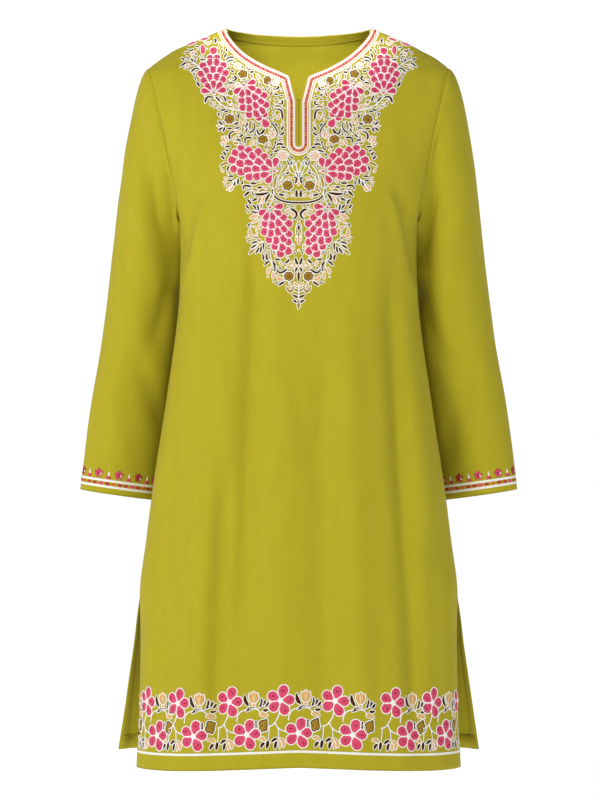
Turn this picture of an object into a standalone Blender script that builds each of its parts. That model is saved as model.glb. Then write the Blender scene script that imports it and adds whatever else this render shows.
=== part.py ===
"""Kurta tunic: a long-sleeved overshirt with a slit neck, flared body and open side vents.

The cloth stands filled out as if worn, with nobody in it. Every piece is a thin wall: the front
and the back share one form, cut by the neckline, the armholes and the vents, and each sleeve is
a tube that grows from its armhole. Trims are strips made from a panel's own points, moved out.

The origin lies midway between the two neck points, where the wearer's shoulders carry the
garment. +Z is up, the front faces -Y, and +X is the wearer's left. All sizes are in metres.
"""
import math
from collections import namedtuple

import bmesh
import bpy
import numpy as np
from mathutils import Vector

# ---------------------------------------------------------------- driving dimensions
CLOTH = 0.0012            # wall of the body and the sleeves
TRIM = 0.0009             # thickness of border, facing and braid
LAYER_GAP = 0.0004        # air between a panel and what lies on it
SIDE_SETBACK = 0.0002     # each panel stops this far short of the side seam
SHOULDER_SETBACK = 0.0004
SEAM_TOP_GAP = 0.0006     # from the armhole's edge to the sleeve's, at the shoulder tip
SEAM_GAP_GROWTH = 0.0009  # what this grows by down to the underarm, as the walls meet askew
UNDERARM_OFFSET = 0.0021  # at the underarm the sleeve lies beside the body, wall to wall
SLIT_HALF_GAP = 0.0005    # half the space between the two closed edges of the neck slit
MERGE = 0.00005           # points closer than this are one
RIDGE_LIFT = 0.0003       # added to the border's end, where the cloth turns over the shoulder
FACING_END = 0.94         # share of the facing's first strip that it keeps, short of the seam
UNDERARM_SHARE = 1 / 3    # of the armhole, from its foot up, where the sleeve slips beside the body
ARM_PULL = 0.42           # how long the arm's own fall reaches up into the sleeve's cap

FRONT_SQUARENESS = 2.5    # 2 is an ellipse, more is squarer
BACK_SQUARENESS = 2.2

SHOULDER_TIP_Z = -0.0520  # where the shoulder seam meets the armhole
SHOULDER_SLOPE = math.radians(27.5)
UNDERARM_Z = -0.2550
VENT_TOP_Z = -0.7370
FRONT_HEM_Z = -0.9570     # at the side edges
BACK_HEM_Z = -0.9430
FRONT_HEM_RISE = 0.0085   # the front hem is this much higher at the centre than at the sides
FRONT_HEM_WAVE = 0.0025   # and dips this much more halfway between

BACK_NECK_DROP = 0.0060
FACING_WIDTH = 0.0115

HEM_BRAID_UP = 0.0205     # middle of the braid above the front hem
BRAID_WIDTH = 0.0034
CUFF_BRAIDS_UP = {"lower": 0.0091, "upper": 0.0169}

# ---------------------------------------------------------------- fineness
PANEL_COLUMNS = 12        # across half a panel
BORDER_COLUMNS = 2        # of those, under the neck border
NECK_STEPS = 6            # along half the back neckline
ARMHOLE_STEPS = 13        # along each armhole, from shoulder tip to underarm
SIDE_ROWS = 8             # from underarm to vent
VENT_ROWS = 4             # from vent to hem
CAP_RINGS = 6             # from the armhole to the upper arm
ARM_RINGS = 7             # from the upper arm to the cuff
SEAM_POINTS = 60          # along the armhole, while its length is measured
FALL_STEP = 0.0100        # over which the direction of the arm is read
NORMAL_TURN = 0.0120      # radians and metres over which a panel's outward direction is read
NORMAL_REACH = 0.0015

# ---------------------------------------------------------------- shape tables
# One row for each level of the body. "half" is the form's half width, "depth" how far the
# middle of the panel stands from the side line, and "edge" how far its side edge does.
Level = namedtuple("Level", "z front_half front_depth front_edge back_half back_depth back_edge")
TOP = SHOULDER_SETBACK
SIDE = SIDE_SETBACK
BODY = (
    Level(0.0000, 0.0949, 0.010, TOP, 0.0949, 0.047, TOP),
    Level(-0.0080, 0.1127, 0.021, TOP, 0.1127, 0.052, TOP),
    Level(-0.0170, 0.1335, 0.031, TOP, 0.1335, 0.058, TOP),
    Level(-0.0270, 0.1540, 0.040, TOP, 0.1540, 0.063, TOP),
    Level(-0.0390, 0.1750, 0.049, TOP, 0.1750, 0.069, TOP),
    Level(-0.0520, 0.1933, 0.058, TOP, 0.1933, 0.074, TOP),
    Level(-0.0600, 0.2060, 0.063, SIDE, 0.2060, 0.077, SIDE),
    Level(-0.0750, 0.2130, 0.070, SIDE, 0.2130, 0.081, SIDE),
    Level(-0.1000, 0.2090, 0.081, SIDE, 0.2090, 0.087, SIDE),
    Level(-0.1450, 0.1930, 0.096, SIDE, 0.1930, 0.093, SIDE),
    Level(-0.2000, 0.1710, 0.108, SIDE, 0.1710, 0.097, SIDE),
    Level(-0.2350, 0.1603, 0.112, SIDE, 0.1603, 0.097, SIDE),
    Level(-0.2550, 0.1550, 0.113, SIDE, 0.1550, 0.096, SIDE),
    Level(-0.3000, 0.1534, 0.110, SIDE, 0.1534, 0.092, SIDE),
    Level(-0.3450, 0.1542, 0.107, SIDE, 0.1542, 0.090, SIDE),
    Level(-0.3800, 0.1573, 0.106, SIDE, 0.1573, 0.091, SIDE),
    Level(-0.4300, 0.1638, 0.107, SIDE, 0.1638, 0.096, SIDE),
    Level(-0.5100, 0.1755, 0.110, SIDE, 0.1755, 0.106, SIDE),
    Level(-0.5900, 0.1880, 0.114, SIDE, 0.1880, 0.114, SIDE),
    Level(-0.6650, 0.1976, 0.116, SIDE, 0.1976, 0.118, SIDE),
    Level(-0.7370, 0.2060, 0.118, SIDE, 0.2060, 0.120, SIDE),
    Level(-0.7950, 0.2053, 0.119, 0.010, 0.2166, 0.121, 0.022),
    Level(-0.8730, 0.2072, 0.121, 0.018, 0.2362, 0.124, 0.042),
    Level(-0.9570, 0.2111, 0.124, 0.025, 0.2620, 0.127, 0.059),
)

# The armhole, front and back alike: how far out the seam lies at each height.
ArmholePoint = namedtuple("ArmholePoint", "z x")
ARMHOLE = (
    ArmholePoint(-0.0520, 0.1933),
    ArmholePoint(-0.0767, 0.1880),
    ArmholePoint(-0.1157, 0.1790),
    ArmholePoint(-0.1443, 0.1725),
    ArmholePoint(-0.1794, 0.1660),
    ArmholePoint(-0.2080, 0.1608),
    ArmholePoint(-0.2360, 0.1569),
    ArmholePoint(-0.2460, 0.1558),
    ArmholePoint(-0.2550, 0.1550),
)

# The front opening: its edge from the neck point to the corner and down the slit, and beside it
# the outer edge of the border. The last row is the border's rounded foot, below the slit.
Opening = namedtuple("Opening", "edge_x edge_z border_x border_z")
FRONT_OPENING = (
    Opening(0.0949, 0.0000, 0.1061, -0.0050),
    Opening(0.0913, -0.0100, 0.1024, -0.0156),
    Opening(0.0770, -0.0300, 0.0862, -0.0385),
    Opening(0.0580, -0.0461, 0.0651, -0.0561),
    Opening(0.0385, -0.0571, 0.0440, -0.0680),
    Opening(0.0210, -0.0650, 0.0263, -0.0756),
    Opening(0.0123, -0.0694, 0.0205, -0.0780),
    Opening(0.0052, -0.0985, 0.0158, -0.1000),
    Opening(SLIT_HALF_GAP, -0.1010, 0.0158, -0.1130),
    Opening(SLIT_HALF_GAP, -0.1640, 0.0155, -0.1590),
    Opening(0.0000, -0.1658, 0.0143, -0.1645),
    Opening(0.0000, -0.1725, 0.0098, -0.1702),
)
CENTRE_BELOW_BORDER = (-0.2100, UNDERARM_Z)

# The arm of a sleeve, level by level: the middle of the section, its half sizes before it is
# turned, the turn that carries its inner end back, and the tilt that lifts its outer end.
ArmLevel = namedtuple("ArmLevel", "z x y half_wide half_deep turn tilt")
ARM = (
    ArmLevel(-0.3000, 0.1990, 0.035, 0.0450, 0.0570, 7.0, 2.0),
    ArmLevel(-0.4000, 0.2068, 0.043, 0.0505, 0.0500, 15.0, 4.0),
    ArmLevel(-0.5000, 0.2206, 0.050, 0.0530, 0.0440, 22.0, 6.5),
    ArmLevel(-0.6080, 0.2346, 0.054, 0.0540, 0.0380, 25.0, 8.5),
)

# How a sleeve leaves its armhole, from the shoulder tip (0) round to the underarm (180): out,
# towards the middle of the arm, and down.
CapStart = namedtuple("CapStart", "angle out inward down")
CAP = (
    CapStart(0.0, 0.0230, 0.0000, 0.0100),
    CapStart(50.0, 0.0180, 0.0000, 0.0280),
    CapStart(90.0, 0.0110, 0.0040, 0.0320),
    CapStart(135.0, 0.0070, 0.0100, 0.0180),
    CapStart(180.0, 0.0016, 0.0090, 0.0120),
)

# ---------------------------------------------------------------- colours (sRGB)
GREEN = (184, 172, 48)
GREEN_INSIDE = (170, 158, 40)
WHITE = (236, 232, 222)
PINK = (205, 92, 112)
CLOTH_ROUGHNESS = 0.85
THREAD_ROUGHNESS = 0.60


# ---------------------------------------------------------------- reading the tables
def smooth(table, key, value, at):
    """The value column of a table at a place on its key column, without overshooting."""
    rows = sorted(table, key=lambda row: getattr(row, key))
    x = np.array([getattr(row, key) for row in rows])
    y = np.array([getattr(row, value) for row in rows])
    step = np.diff(x)
    slope = np.diff(y) / step
    tangent = np.zeros(len(x))
    tangent[0], tangent[-1] = slope[0], slope[-1]
    for i in range(1, len(x) - 1):
        if slope[i - 1] * slope[i] > 0:
            before, after = 2 * step[i] + step[i - 1], step[i] + 2 * step[i - 1]
            tangent[i] = (before + after) / (before / slope[i - 1] + after / slope[i])
    at = min(max(at, x[0]), x[-1])
    i = min(int(np.searchsorted(x, at, side="right")) - 1, len(x) - 2)
    t = (at - x[i]) / step[i]
    return float(
        (1 + 2 * t) * (1 - t) ** 2 * y[i]
        + t * (1 - t) ** 2 * step[i] * tangent[i]
        + t * t * (3 - 2 * t) * y[i + 1]
        + t * t * (t - 1) * step[i] * tangent[i + 1]
    )


class Panel:
    """The front or the back of the body: a form of levels, reached by angle and height."""

    def __init__(self, side, sign, squareness):
        self.side = side
        self.sign = sign
        self.squareness = squareness

    def level(self, column, z):
        return smooth(BODY, "z", f"{self.side}_{column}", z)

    def point(self, angle, z):
        """A point of the form: angle 0 is the middle of the panel and pi / 2 its side line."""
        power = 2 / self.squareness
        sine, cosine = math.sin(angle), math.cos(angle)
        x = self.level("half", z) * math.copysign(abs(sine) ** power, sine)
        y = self.level("depth", z) * math.copysign(abs(cosine) ** power, cosine)
        return Vector((x, self.sign * y, z))

    def angle_of(self, x, z):
        """The angle at which the form is x wide at a height."""
        return math.asin(min(x / self.level("half", z), 1.0) ** (self.squareness / 2))

    def edge_angle(self, z):
        """The angle of the panel's own side edge."""
        share = self.level("edge", z) / self.level("depth", z)
        return math.acos(share ** (self.squareness / 2))

    def place_of(self, x, z):
        """The (angle, height) of a point of the panel, kept short of its side edge."""
        return (min(self.angle_of(x, z), self.edge_angle(z)), z)

    def normal(self, angle, z):
        """The outward direction, from the points a small turn and reach round this one."""
        across = self.point(angle + NORMAL_TURN, z) - self.point(angle - NORMAL_TURN, z)
        down = self.point(angle, z - NORMAL_REACH) - self.point(angle, z + NORMAL_REACH)
        outward = across.cross(down) * self.sign
        return outward.normalized()

    def raised(self, angle, z, height):
        """A point moved out of the panel, or into it below zero."""
        return self.point(angle, z) + self.normal(angle, z) * height


FRONT = Panel("front", -1, FRONT_SQUARENESS)
BACK = Panel("back", 1, BACK_SQUARENESS)


# ---------------------------------------------------------------- building blocks
def linear(value):
    """An sRGB channel from 0 to 255 as the linear value that a material takes."""
    share = value / 255
    return share / 12.92 if share <= 0.04045 else ((share + 0.055) / 1.055) ** 2.4


def material(name, colour, roughness):
    made = bpy.data.materials.new(name)
    made.use_nodes = True
    shader = made.node_tree.nodes["Principled BSDF"]
    shader.inputs["Base Color"].default_value = (*[linear(value) for value in colour], 1.0)
    shader.inputs["Roughness"].default_value = roughness
    shader.inputs["Metallic"].default_value = 0.0
    return made


def wall(name, grids, thickness, finish, closed=False, mirrored=False):
    """A cloth wall through grids of points: an open surface, mirrored if asked, with Solidify."""
    mesh = bpy.data.meshes.new(name)
    shape = bmesh.new()
    for rows in grids:
        grid = [[shape.verts.new(point) for point in row] for row in rows]
        columns = len(rows[0])
        for upper, lower in zip(grid, grid[1:]):
            for i in range(columns if closed else columns - 1):
                after = (i + 1) % columns
                shape.faces.new((upper[i], lower[i], lower[after], upper[after]))
    bmesh.ops.remove_doubles(shape, verts=shape.verts, dist=MERGE)
    shape.to_mesh(mesh)
    shape.free()
    mesh.materials.append(finish)
    mesh.shade_smooth()
    made = bpy.data.objects.new(name, mesh)
    bpy.data.collections["kurta"].objects.link(made)
    if mirrored:
        mirror = made.modifiers.new("both halves", "MIRROR")
        mirror.merge_threshold = MERGE
    shell = made.modifiers.new("thickness", "SOLIDIFY")
    shell.thickness = thickness
    shell.offset = 0.0
    shell.use_even_offset = True
    return made


def spaced(points, count):
    """Count points, evenly spaced along a line of points."""
    reach = [0.0]
    for before, after in zip(points, points[1:]):
        reach.append(reach[-1] + (after - before).length)
    wanted = np.linspace(0.0, reach[-1], count)
    columns = [np.interp(wanted, reach, [point[k] for point in points]) for k in range(3)]
    return [Vector(values) for values in zip(*columns)]


# ---------------------------------------------------------------- the body
def armhole(panel):
    """Points on the armhole seam of a panel, from the shoulder tip to the underarm."""
    share = (1 - np.cos(np.linspace(0.0, math.pi, SEAM_POINTS))) / 2
    heights = SHOULDER_TIP_Z + (UNDERARM_Z - SHOULDER_TIP_Z) * share
    line = [panel.point(panel.angle_of(smooth(ARMHOLE, "z", "x", z), z), z) for z in heights]
    return spaced(line, ARMHOLE_STEPS + 1)


def row_between(start, end, columns=PANEL_COLUMNS):
    """Evenly spaced places of a panel, each an (angle, height), from one to another."""
    return [
        (start[0] + (end[0] - start[0]) * share, start[1] + (end[1] - start[1]) * share)
        for share in np.linspace(0.0, 1.0, columns + 1).tolist()
    ]


def armhole_ends(panel):
    """The places where the rows of a panel meet its armhole."""
    return [panel.place_of(point.x, point.z) for point in armhole(panel)]


def shoulder_row(panel, breaks, columns):
    """The top row of a panel, along the shoulder seam, by heights and columns between them."""
    heights = [breaks[0]]
    for start, end, count in zip(breaks, breaks[1:], columns):
        heights += np.linspace(start, end, count + 1)[1:].tolist()
    return [(panel.edge_angle(z), z) for z in heights]


def skirt_rows(panel, hem_height):
    """Rows from below the underarm to the hem, level at the vents' top and hem-shaped below."""
    rows = []
    for z in np.linspace(UNDERARM_Z, VENT_TOP_Z, SIDE_ROWS + 1)[1:].tolist():
        rows.append(row_between((0.0, z), (panel.edge_angle(z), z)))
    for fall in np.linspace(0.0, 1.0, VENT_ROWS + 1)[1:].tolist():
        row = []
        for share in np.linspace(0.0, 1.0, PANEL_COLUMNS + 1).tolist():
            z = VENT_TOP_Z + (hem_height(share) - VENT_TOP_Z) * fall
            row.append((panel.edge_angle(z) * share, z))
        rows.append(row)
    return rows


def front_hem(share):
    """Height of the front hem from the centre (0) to the side edge (1)."""
    return FRONT_HEM_Z + FRONT_HEM_RISE * (1 - share) - FRONT_HEM_WAVE * math.sin(math.pi * share)


def opening_rows():
    """The rows of the front beside its opening, with their first columns under the border."""
    plain = PANEL_COLUMNS - BORDER_COLUMNS
    border_end = FRONT_OPENING[0].border_z
    rows = [shoulder_row(FRONT, (0.0, border_end, SHOULDER_TIP_Z), (BORDER_COLUMNS, plain))]
    for place, end in list(zip(FRONT_OPENING, armhole_ends(FRONT)))[1:]:
        edge = FRONT.place_of(place.edge_x, place.edge_z)
        border = FRONT.place_of(place.border_x, place.border_z)
        rows.append(row_between(edge, border, BORDER_COLUMNS)[:-1] + row_between(border, end, plain))
    return rows


def front(finish):
    rows = opening_rows()
    rows += [
        row_between((0.0, z), end)
        for z, end in zip(CENTRE_BELOW_BORDER, armhole_ends(FRONT)[len(FRONT_OPENING):])
    ]
    rows += skirt_rows(FRONT, front_hem)
    points = [[FRONT.point(*place) for place in row] for row in rows]
    return wall("front", [points], CLOTH, finish, mirrored=True)


def back_neck_rows():
    """The strip of the back along its neckline, from the shoulder seam to the centre."""
    neck_half = BACK.level("half", 0.0)
    rows = [shoulder_row(BACK, (0.0, -FACING_WIDTH * math.sin(SHOULDER_SLOPE)), (1,))]
    for share in np.linspace(0.0, 1.0, NECK_STEPS + 1).tolist()[1:]:
        x = neck_half * math.cos(share * math.pi / 2)
        z = -BACK_NECK_DROP * math.sin(share * math.pi / 2) ** 2
        sideways = (x / neck_half) ** 3
        outer_x = x + FACING_WIDTH * math.cos(SHOULDER_SLOPE) * sideways
        outer_z = z - FACING_WIDTH * (math.sin(SHOULDER_SLOPE) * sideways + 1 - sideways)
        rows.append([BACK.place_of(x, z), BACK.place_of(outer_x, outer_z)])
    return rows


def back(finish):
    neck = back_neck_rows()
    seam = (neck[0][-1][1], SHOULDER_TIP_Z)
    rows = [shoulder_row(BACK, seam, (PANEL_COLUMNS,))]
    starts = [row[-1] for row in neck[1:]]
    centre_steps = ARMHOLE_STEPS - NECK_STEPS
    starts += [(0.0, z) for z in np.linspace(starts[-1][1], UNDERARM_Z, centre_steps + 1)[1:]]
    rows += [row_between(start, end) for start, end in zip(starts, armhole_ends(BACK)[1:])]
    rows += skirt_rows(BACK, lambda share: BACK_HEM_Z)
    grids = [[[BACK.point(*place) for place in row] for row in grid] for grid in (neck, rows)]
    return wall("back", grids, CLOTH, finish, mirrored=True)


# ---------------------------------------------------------------- the sleeves
def arm_ring(z):
    """A ring of the sleeve below the cap, from its outermost point round by the front."""
    x, y, wide, deep, turn, tilt = (smooth(ARM, "z", column, z) for column in ArmLevel._fields[1:])
    turn, tilt = math.radians(turn), math.radians(tilt)
    ring = []
    for angle in np.linspace(0.0, 2 * math.pi, 2 * ARMHOLE_STEPS, endpoint=False):
        along, aside = wide * math.cos(angle), -deep * math.sin(angle)
        out = along * math.cos(turn) + aside * math.sin(turn)
        rear = -along * math.sin(turn) + aside * math.cos(turn)
        ring.append(Vector((x + out, y + rear, z + out * math.tan(tilt))))
    return ring


def seam_ring():
    """The sleeve's edge round the armhole, a seam's gap away from both panels."""
    ring = []
    edges = {FRONT: armhole(FRONT), BACK: armhole(BACK)}
    for i in range(2 * ARMHOLE_STEPS):
        panel = FRONT if i <= ARMHOLE_STEPS else BACK
        line = edges[panel]
        place = i if i <= ARMHOLE_STEPS else 2 * ARMHOLE_STEPS - i
        here = line[place]
        along = line[min(place + 1, ARMHOLE_STEPS)] - line[max(place - 1, 0)]
        outward = panel.normal(panel.angle_of(here.x, here.z), here.z)
        away = along.cross(outward)
        away = away.normalized() * (1 if away.x + away.z > 0 else -1)
        share = place / ARMHOLE_STEPS
        under = max(1 - (1 - share) / UNDERARM_SHARE, 0.0)
        aside = SEAM_TOP_GAP + SEAM_GAP_GROWTH * share
        ring.append(here + away * aside * (1 - under) + outward * UNDERARM_OFFSET * under)
    return ring


def sleeve(name, side, finish):
    seam = seam_ring()
    top = arm_ring(ARM[0].z)
    below = arm_ring(ARM[0].z - FALL_STEP)
    rings = []
    for share in np.linspace(0.0, 1.0, CAP_RINGS + 1).tolist():
        ring = []
        for i in range(2 * ARMHOLE_STEPS):
            angle = 180.0 * min(i, 2 * ARMHOLE_STEPS - i) / ARMHOLE_STEPS
            rear = 1 if i <= ARMHOLE_STEPS else -1
            out, inward, down = (smooth(CAP, "angle", column, angle) for column in CapStart._fields[1:])
            first = seam[i] + Vector((out, rear * inward, -down))
            fall = (top[i] - below[i]).normalized()
            second = top[i] + fall * ARM_PULL * (seam[i].z - top[i].z)
            a, b = 1 - share, share
            ring.append(
                a ** 3 * seam[i] + 3 * a * a * b * first + 3 * a * b * b * second + b ** 3 * top[i])
        rings.append(ring)
    for z in np.linspace(ARM[0].z, ARM[-1].z, ARM_RINGS + 1)[1:]:
        rings.append(arm_ring(z))
    rings = [[Vector((side * point.x, point.y, point.z)) for point in ring] for ring in rings]
    if side > 0:
        rings = [ring[::-1] for ring in rings]
    return wall(name, [rings], CLOTH, finish, closed=True)


# ---------------------------------------------------------------- the trims
def lift(thickness):
    """How far the middle of a layer lies from the middle of the cloth under it."""
    return CLOTH / 2 + LAYER_GAP + thickness / 2


def neck_border(finish):
    """The border on the front: along the neckline, down beside the slit and round its foot."""
    rows = [
        [FRONT.raised(*place, lift(TRIM)) for place in row[:BORDER_COLUMNS + 1]]
        for row in opening_rows()
    ]
    for point in rows[0]:
        point.z += RIDGE_LIFT
    return wall("neck_border", [rows], TRIM, finish, mirrored=True)


def back_neck_facing(finish):
    """The band inside the back neck, from one shoulder seam to the other."""
    rows = [[BACK.raised(*place, -lift(TRIM)) for place in row] for row in back_neck_rows()]
    rows[0] = [after + (first - after) * FACING_END for first, after in zip(rows[0], rows[1])]
    return wall("back_neck_facing", [rows], TRIM, finish, mirrored=True)


def hem_braid(finish):
    """The braid sewn along the front, above the hem."""
    rows = []
    for share in np.linspace(0.0, 1.0, PANEL_COLUMNS + 1).tolist():
        middle = front_hem(share) + HEM_BRAID_UP
        angle = FRONT.edge_angle(middle) * share
        rows.append([
            FRONT.raised(angle, middle + up, lift(TRIM))
            for up in (BRAID_WIDTH / 2, -BRAID_WIDTH / 2)
        ])
    return wall("hem_braid", [rows], TRIM, finish, mirrored=True)


def cuff_braid(name, side, up, finish):
    """A braid sewn round a sleeve, a distance above its cuff."""
    rings = []
    for height in (up + BRAID_WIDTH / 2, up - BRAID_WIDTH / 2):
        ring = arm_ring(ARM[-1].z + height)
        middle = sum(ring, Vector()) / len(ring)
        grown = []
        for i, point in enumerate(ring):
            along = ring[(i + 1) % len(ring)] - ring[i - 1]
            outward = along.cross(Vector((0.0, 0.0, 1.0))).normalized()
            outward *= 1 if outward.dot(point - middle) > 0 else -1
            grown.append(point + outward * lift(TRIM))
        rings.append([Vector((side * point.x, point.y, point.z)) for point in grown])
    if side > 0:
        rings = [ring[::-1] for ring in rings]
    return wall(name, [rings], TRIM, finish, closed=True)


# ---------------------------------------------------------------- the garment
def clear_scene():
    for thing in list(bpy.data.objects):
        bpy.data.objects.remove(thing, do_unlink=True)


def main():
    clear_scene()
    bpy.context.scene.collection.children.link(bpy.data.collections.new("kurta"))
    green = material("green cloth", GREEN, CLOTH_ROUGHNESS)
    inside = material("green facing", GREEN_INSIDE, CLOTH_ROUGHNESS)
    white = material("white braid", WHITE, THREAD_ROUGHNESS)
    pink = material("pink and white border", PINK, THREAD_ROUGHNESS)
    front(green)
    back(green)
    neck_border(pink)
    back_neck_facing(inside)
    hem_braid(white)
    for name, side in (("left", 1), ("right", -1)):
        sleeve(f"sleeve_{name}", side, green)
        for place, up in CUFF_BRAIDS_UP.items():
            cuff_braid(f"cuff_braid_{place}_{name}", side, up, white)


main()
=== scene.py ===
"""Kurta tunic: cloth panels with folds, seams and turned hems, and raised thread embroidery.

The cloth lies on the same form as the solids of the frame. Panels are grids of points on that
form, moved out and in by a table of folds, then given a thickness. Embroidery is laid out flat,
in metres on the cloth, and carried onto the folded cloth point by point.
"""

import math
from collections import namedtuple

import bmesh
import bpy
import numpy as np
from bpy.props import FloatProperty, FloatVectorProperty, IntProperty, PointerProperty
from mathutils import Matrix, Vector


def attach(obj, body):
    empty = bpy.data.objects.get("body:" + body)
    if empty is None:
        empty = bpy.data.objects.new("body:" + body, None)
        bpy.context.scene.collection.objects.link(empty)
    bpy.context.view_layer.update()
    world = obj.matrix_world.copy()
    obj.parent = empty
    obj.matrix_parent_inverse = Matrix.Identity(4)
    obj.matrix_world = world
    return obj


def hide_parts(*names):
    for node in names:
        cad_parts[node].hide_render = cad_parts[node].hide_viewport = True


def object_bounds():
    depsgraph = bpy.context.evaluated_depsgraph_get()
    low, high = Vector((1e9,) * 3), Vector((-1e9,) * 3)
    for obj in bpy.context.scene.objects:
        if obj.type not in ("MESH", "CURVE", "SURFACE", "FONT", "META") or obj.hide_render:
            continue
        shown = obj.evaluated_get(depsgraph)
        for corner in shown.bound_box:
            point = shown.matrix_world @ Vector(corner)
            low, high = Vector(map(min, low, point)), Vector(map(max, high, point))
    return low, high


bl_info = {
    "name": "Kurta Tunic",
    "version": (1, 0, 0),
    "blender": (4, 5, 0),
    "location": "View3D > Sidebar > Kurta",
    "description": "Builds an embroidered kurta tunic, piece by piece",
    "category": "Add Mesh",
}

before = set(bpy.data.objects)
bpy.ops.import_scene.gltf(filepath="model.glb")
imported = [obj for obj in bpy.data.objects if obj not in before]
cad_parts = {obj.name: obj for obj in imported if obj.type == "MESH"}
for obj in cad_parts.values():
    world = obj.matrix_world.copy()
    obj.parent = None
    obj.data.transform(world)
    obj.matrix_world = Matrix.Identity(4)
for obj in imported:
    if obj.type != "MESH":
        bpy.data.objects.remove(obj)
CAD_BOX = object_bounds()
BODY_NAME = "root"
FILM = 36.0               # millimetres
VIEW_X, VIEW_Z = 0.0017, -0.4836    # what the camera looks at

# ---- the form of the garment
FRONT_SQUARENESS = 2.5
BACK_SQUARENESS = 2.2
SHOULDER_TIP_Z = -0.0520
UNDERARM_Z = -0.2550
VENT_TOP_Z = -0.7370
FRONT_HEM_Z = -0.9570
FRONT_HEM_RISE = 0.0085
FRONT_HEM_WAVE = 0.0025
BACK_HEM_Z = -0.9430
BACK_NECK_DROP = 0.0060
SLIT_HALF_GAP = 0.0003
SLIT_TOP_Z = -0.1010
SEAM = 0.0002             # how far each panel stops from the side seam
RIDGE = 0.0004            # and from the shoulder seam
SEAM_DIP = 0.0008         # depth of the valley at a body seam
SEAM_DIP_REACH = 0.0022
ARMHOLE_HOLD = 0.016      # how far in an armhole's seam keeps folds flat
SIDE_HOLD = 0.22          # and a side seam, as an angle
SIDE_RADIUS = 0.10        # to turn that angle into a distance
SHOULDER_SLOPE = math.radians(27.5)
FACING_WIDTH = 0.0115
FACING_THICKNESS = 0.00018
FACING_GAP = 0.00006      # from the back's cloth to the facing
BORDER_INNER = 0.0037     # inner edge of the neck border beside the slit
BORDER_FOOT = -0.1578     # middle of the border's round foot
HEM_FORM_UP = 0.05        # where distances along a hem are measured, above the hem
HEM_BRAID_UP = 0.0205     # middle of the braid above the front hem
CUFF_BRAIDS_UP = {"lower": 0.0091, "upper": 0.0169}

# Turned cloth: a first bend, then flat, this many cloths inside the outer layer.
LAYER = 1.6
BEND_SHARE = 0.6          # of that depth, at the bend
FOLD_BEND = 0.0010        # from a folded edge to its bend
SEAM_BEND = 0.0012        # depth of the bend of a seam's allowance
SLEEVE_BEND = 0.0008      # and of a sleeve's


def table(kind, *rows):
    """Rows with named columns."""
    return tuple(kind(*row) for row in rows)


# One row for each level: half width, depth of the panel's middle and depth of its side edge.
Level = namedtuple("Level", "z front_half front_depth front_edge back_half back_depth back_edge")


def alike(edge, levels):
    """Levels at which front and back are equally wide: height, half width and both depths."""
    return tuple(Level(z, half, front, edge, half, back, edge) for z, half, front, back in levels)


BODY = (
    *alike(RIDGE, (
        (0.0000, 0.0949, 0.010, 0.047), (-0.0080, 0.1127, 0.021, 0.052),
        (-0.0170, 0.1335, 0.031, 0.058), (-0.0270, 0.1540, 0.040, 0.063),
        (-0.0390, 0.1750, 0.049, 0.069), (-0.0520, 0.1933, 0.058, 0.074),
    )),
    *alike(SEAM, (
        (-0.0600, 0.2060, 0.063, 0.077), (-0.0750, 0.2130, 0.070, 0.081),
        (-0.1000, 0.2090, 0.081, 0.087), (-0.1450, 0.1930, 0.096, 0.093),
        (-0.2000, 0.1710, 0.108, 0.097), (-0.2350, 0.1603, 0.112, 0.097),
        (-0.2550, 0.1550, 0.113, 0.096), (-0.3000, 0.1534, 0.110, 0.092),
        (-0.3450, 0.1542, 0.107, 0.090), (-0.3800, 0.1573, 0.106, 0.091),
        (-0.4300, 0.1638, 0.107, 0.096), (-0.5100, 0.1755, 0.110, 0.106),
        (-0.5900, 0.1880, 0.114, 0.114), (-0.6650, 0.1976, 0.116, 0.118),
        (-0.7370, 0.2060, 0.118, 0.120),
    )),
    Level(-0.7950, 0.2053, 0.119, 0.010, 0.2166, 0.121, 0.022),
    Level(-0.8730, 0.2072, 0.121, 0.018, 0.2362, 0.124, 0.042),
    Level(-0.9570, 0.2111, 0.124, 0.025, 0.2620, 0.127, 0.059),
)

ArmholePoint = namedtuple("ArmholePoint", "z x")
ARMHOLE = table(ArmholePoint,
    (-0.0520, 0.1933), (-0.0767, 0.1880), (-0.1157, 0.1790), (-0.1443, 0.1725),
    (-0.1794, 0.1660), (-0.2080, 0.1608), (-0.2360, 0.1569), (-0.2460, 0.1558),
    (-0.2550, 0.1550),
)

# The cut edge of the front, from the neck point to the corner, down the slit and to its foot.
# "row" places it against the armhole, which has 13 rows from the shoulder tip to the underarm.
NeckPoint = namedtuple("NeckPoint", "row x z")
FRONT_NECK = table(NeckPoint,
    (0.0, 0.0949, 0.0000), (1.0, 0.0913, -0.0100), (2.0, 0.0770, -0.0300),
    (3.0, 0.0580, -0.0461), (4.0, 0.0385, -0.0571), (5.0, 0.0210, -0.0650),
    (5.4, 0.0123, -0.0694), (6.6, 0.0052, -0.0985), (6.8, SLIT_HALF_GAP, SLIT_TOP_Z),
    (9.4, SLIT_HALF_GAP, -0.1640), (9.6, 0.0000, -0.1665), (13.0, 0.0000, UNDERARM_Z),
)
ARMHOLE_ROWS = 13
ROWS_PER_ROW = 5          # finer rows of the cloth in each of those
BACK_NECK_ROWS = 6
SIDE_ROWS = 112           # from underarm to vent
VENT_ROWS = 52            # from vent to hem

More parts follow.
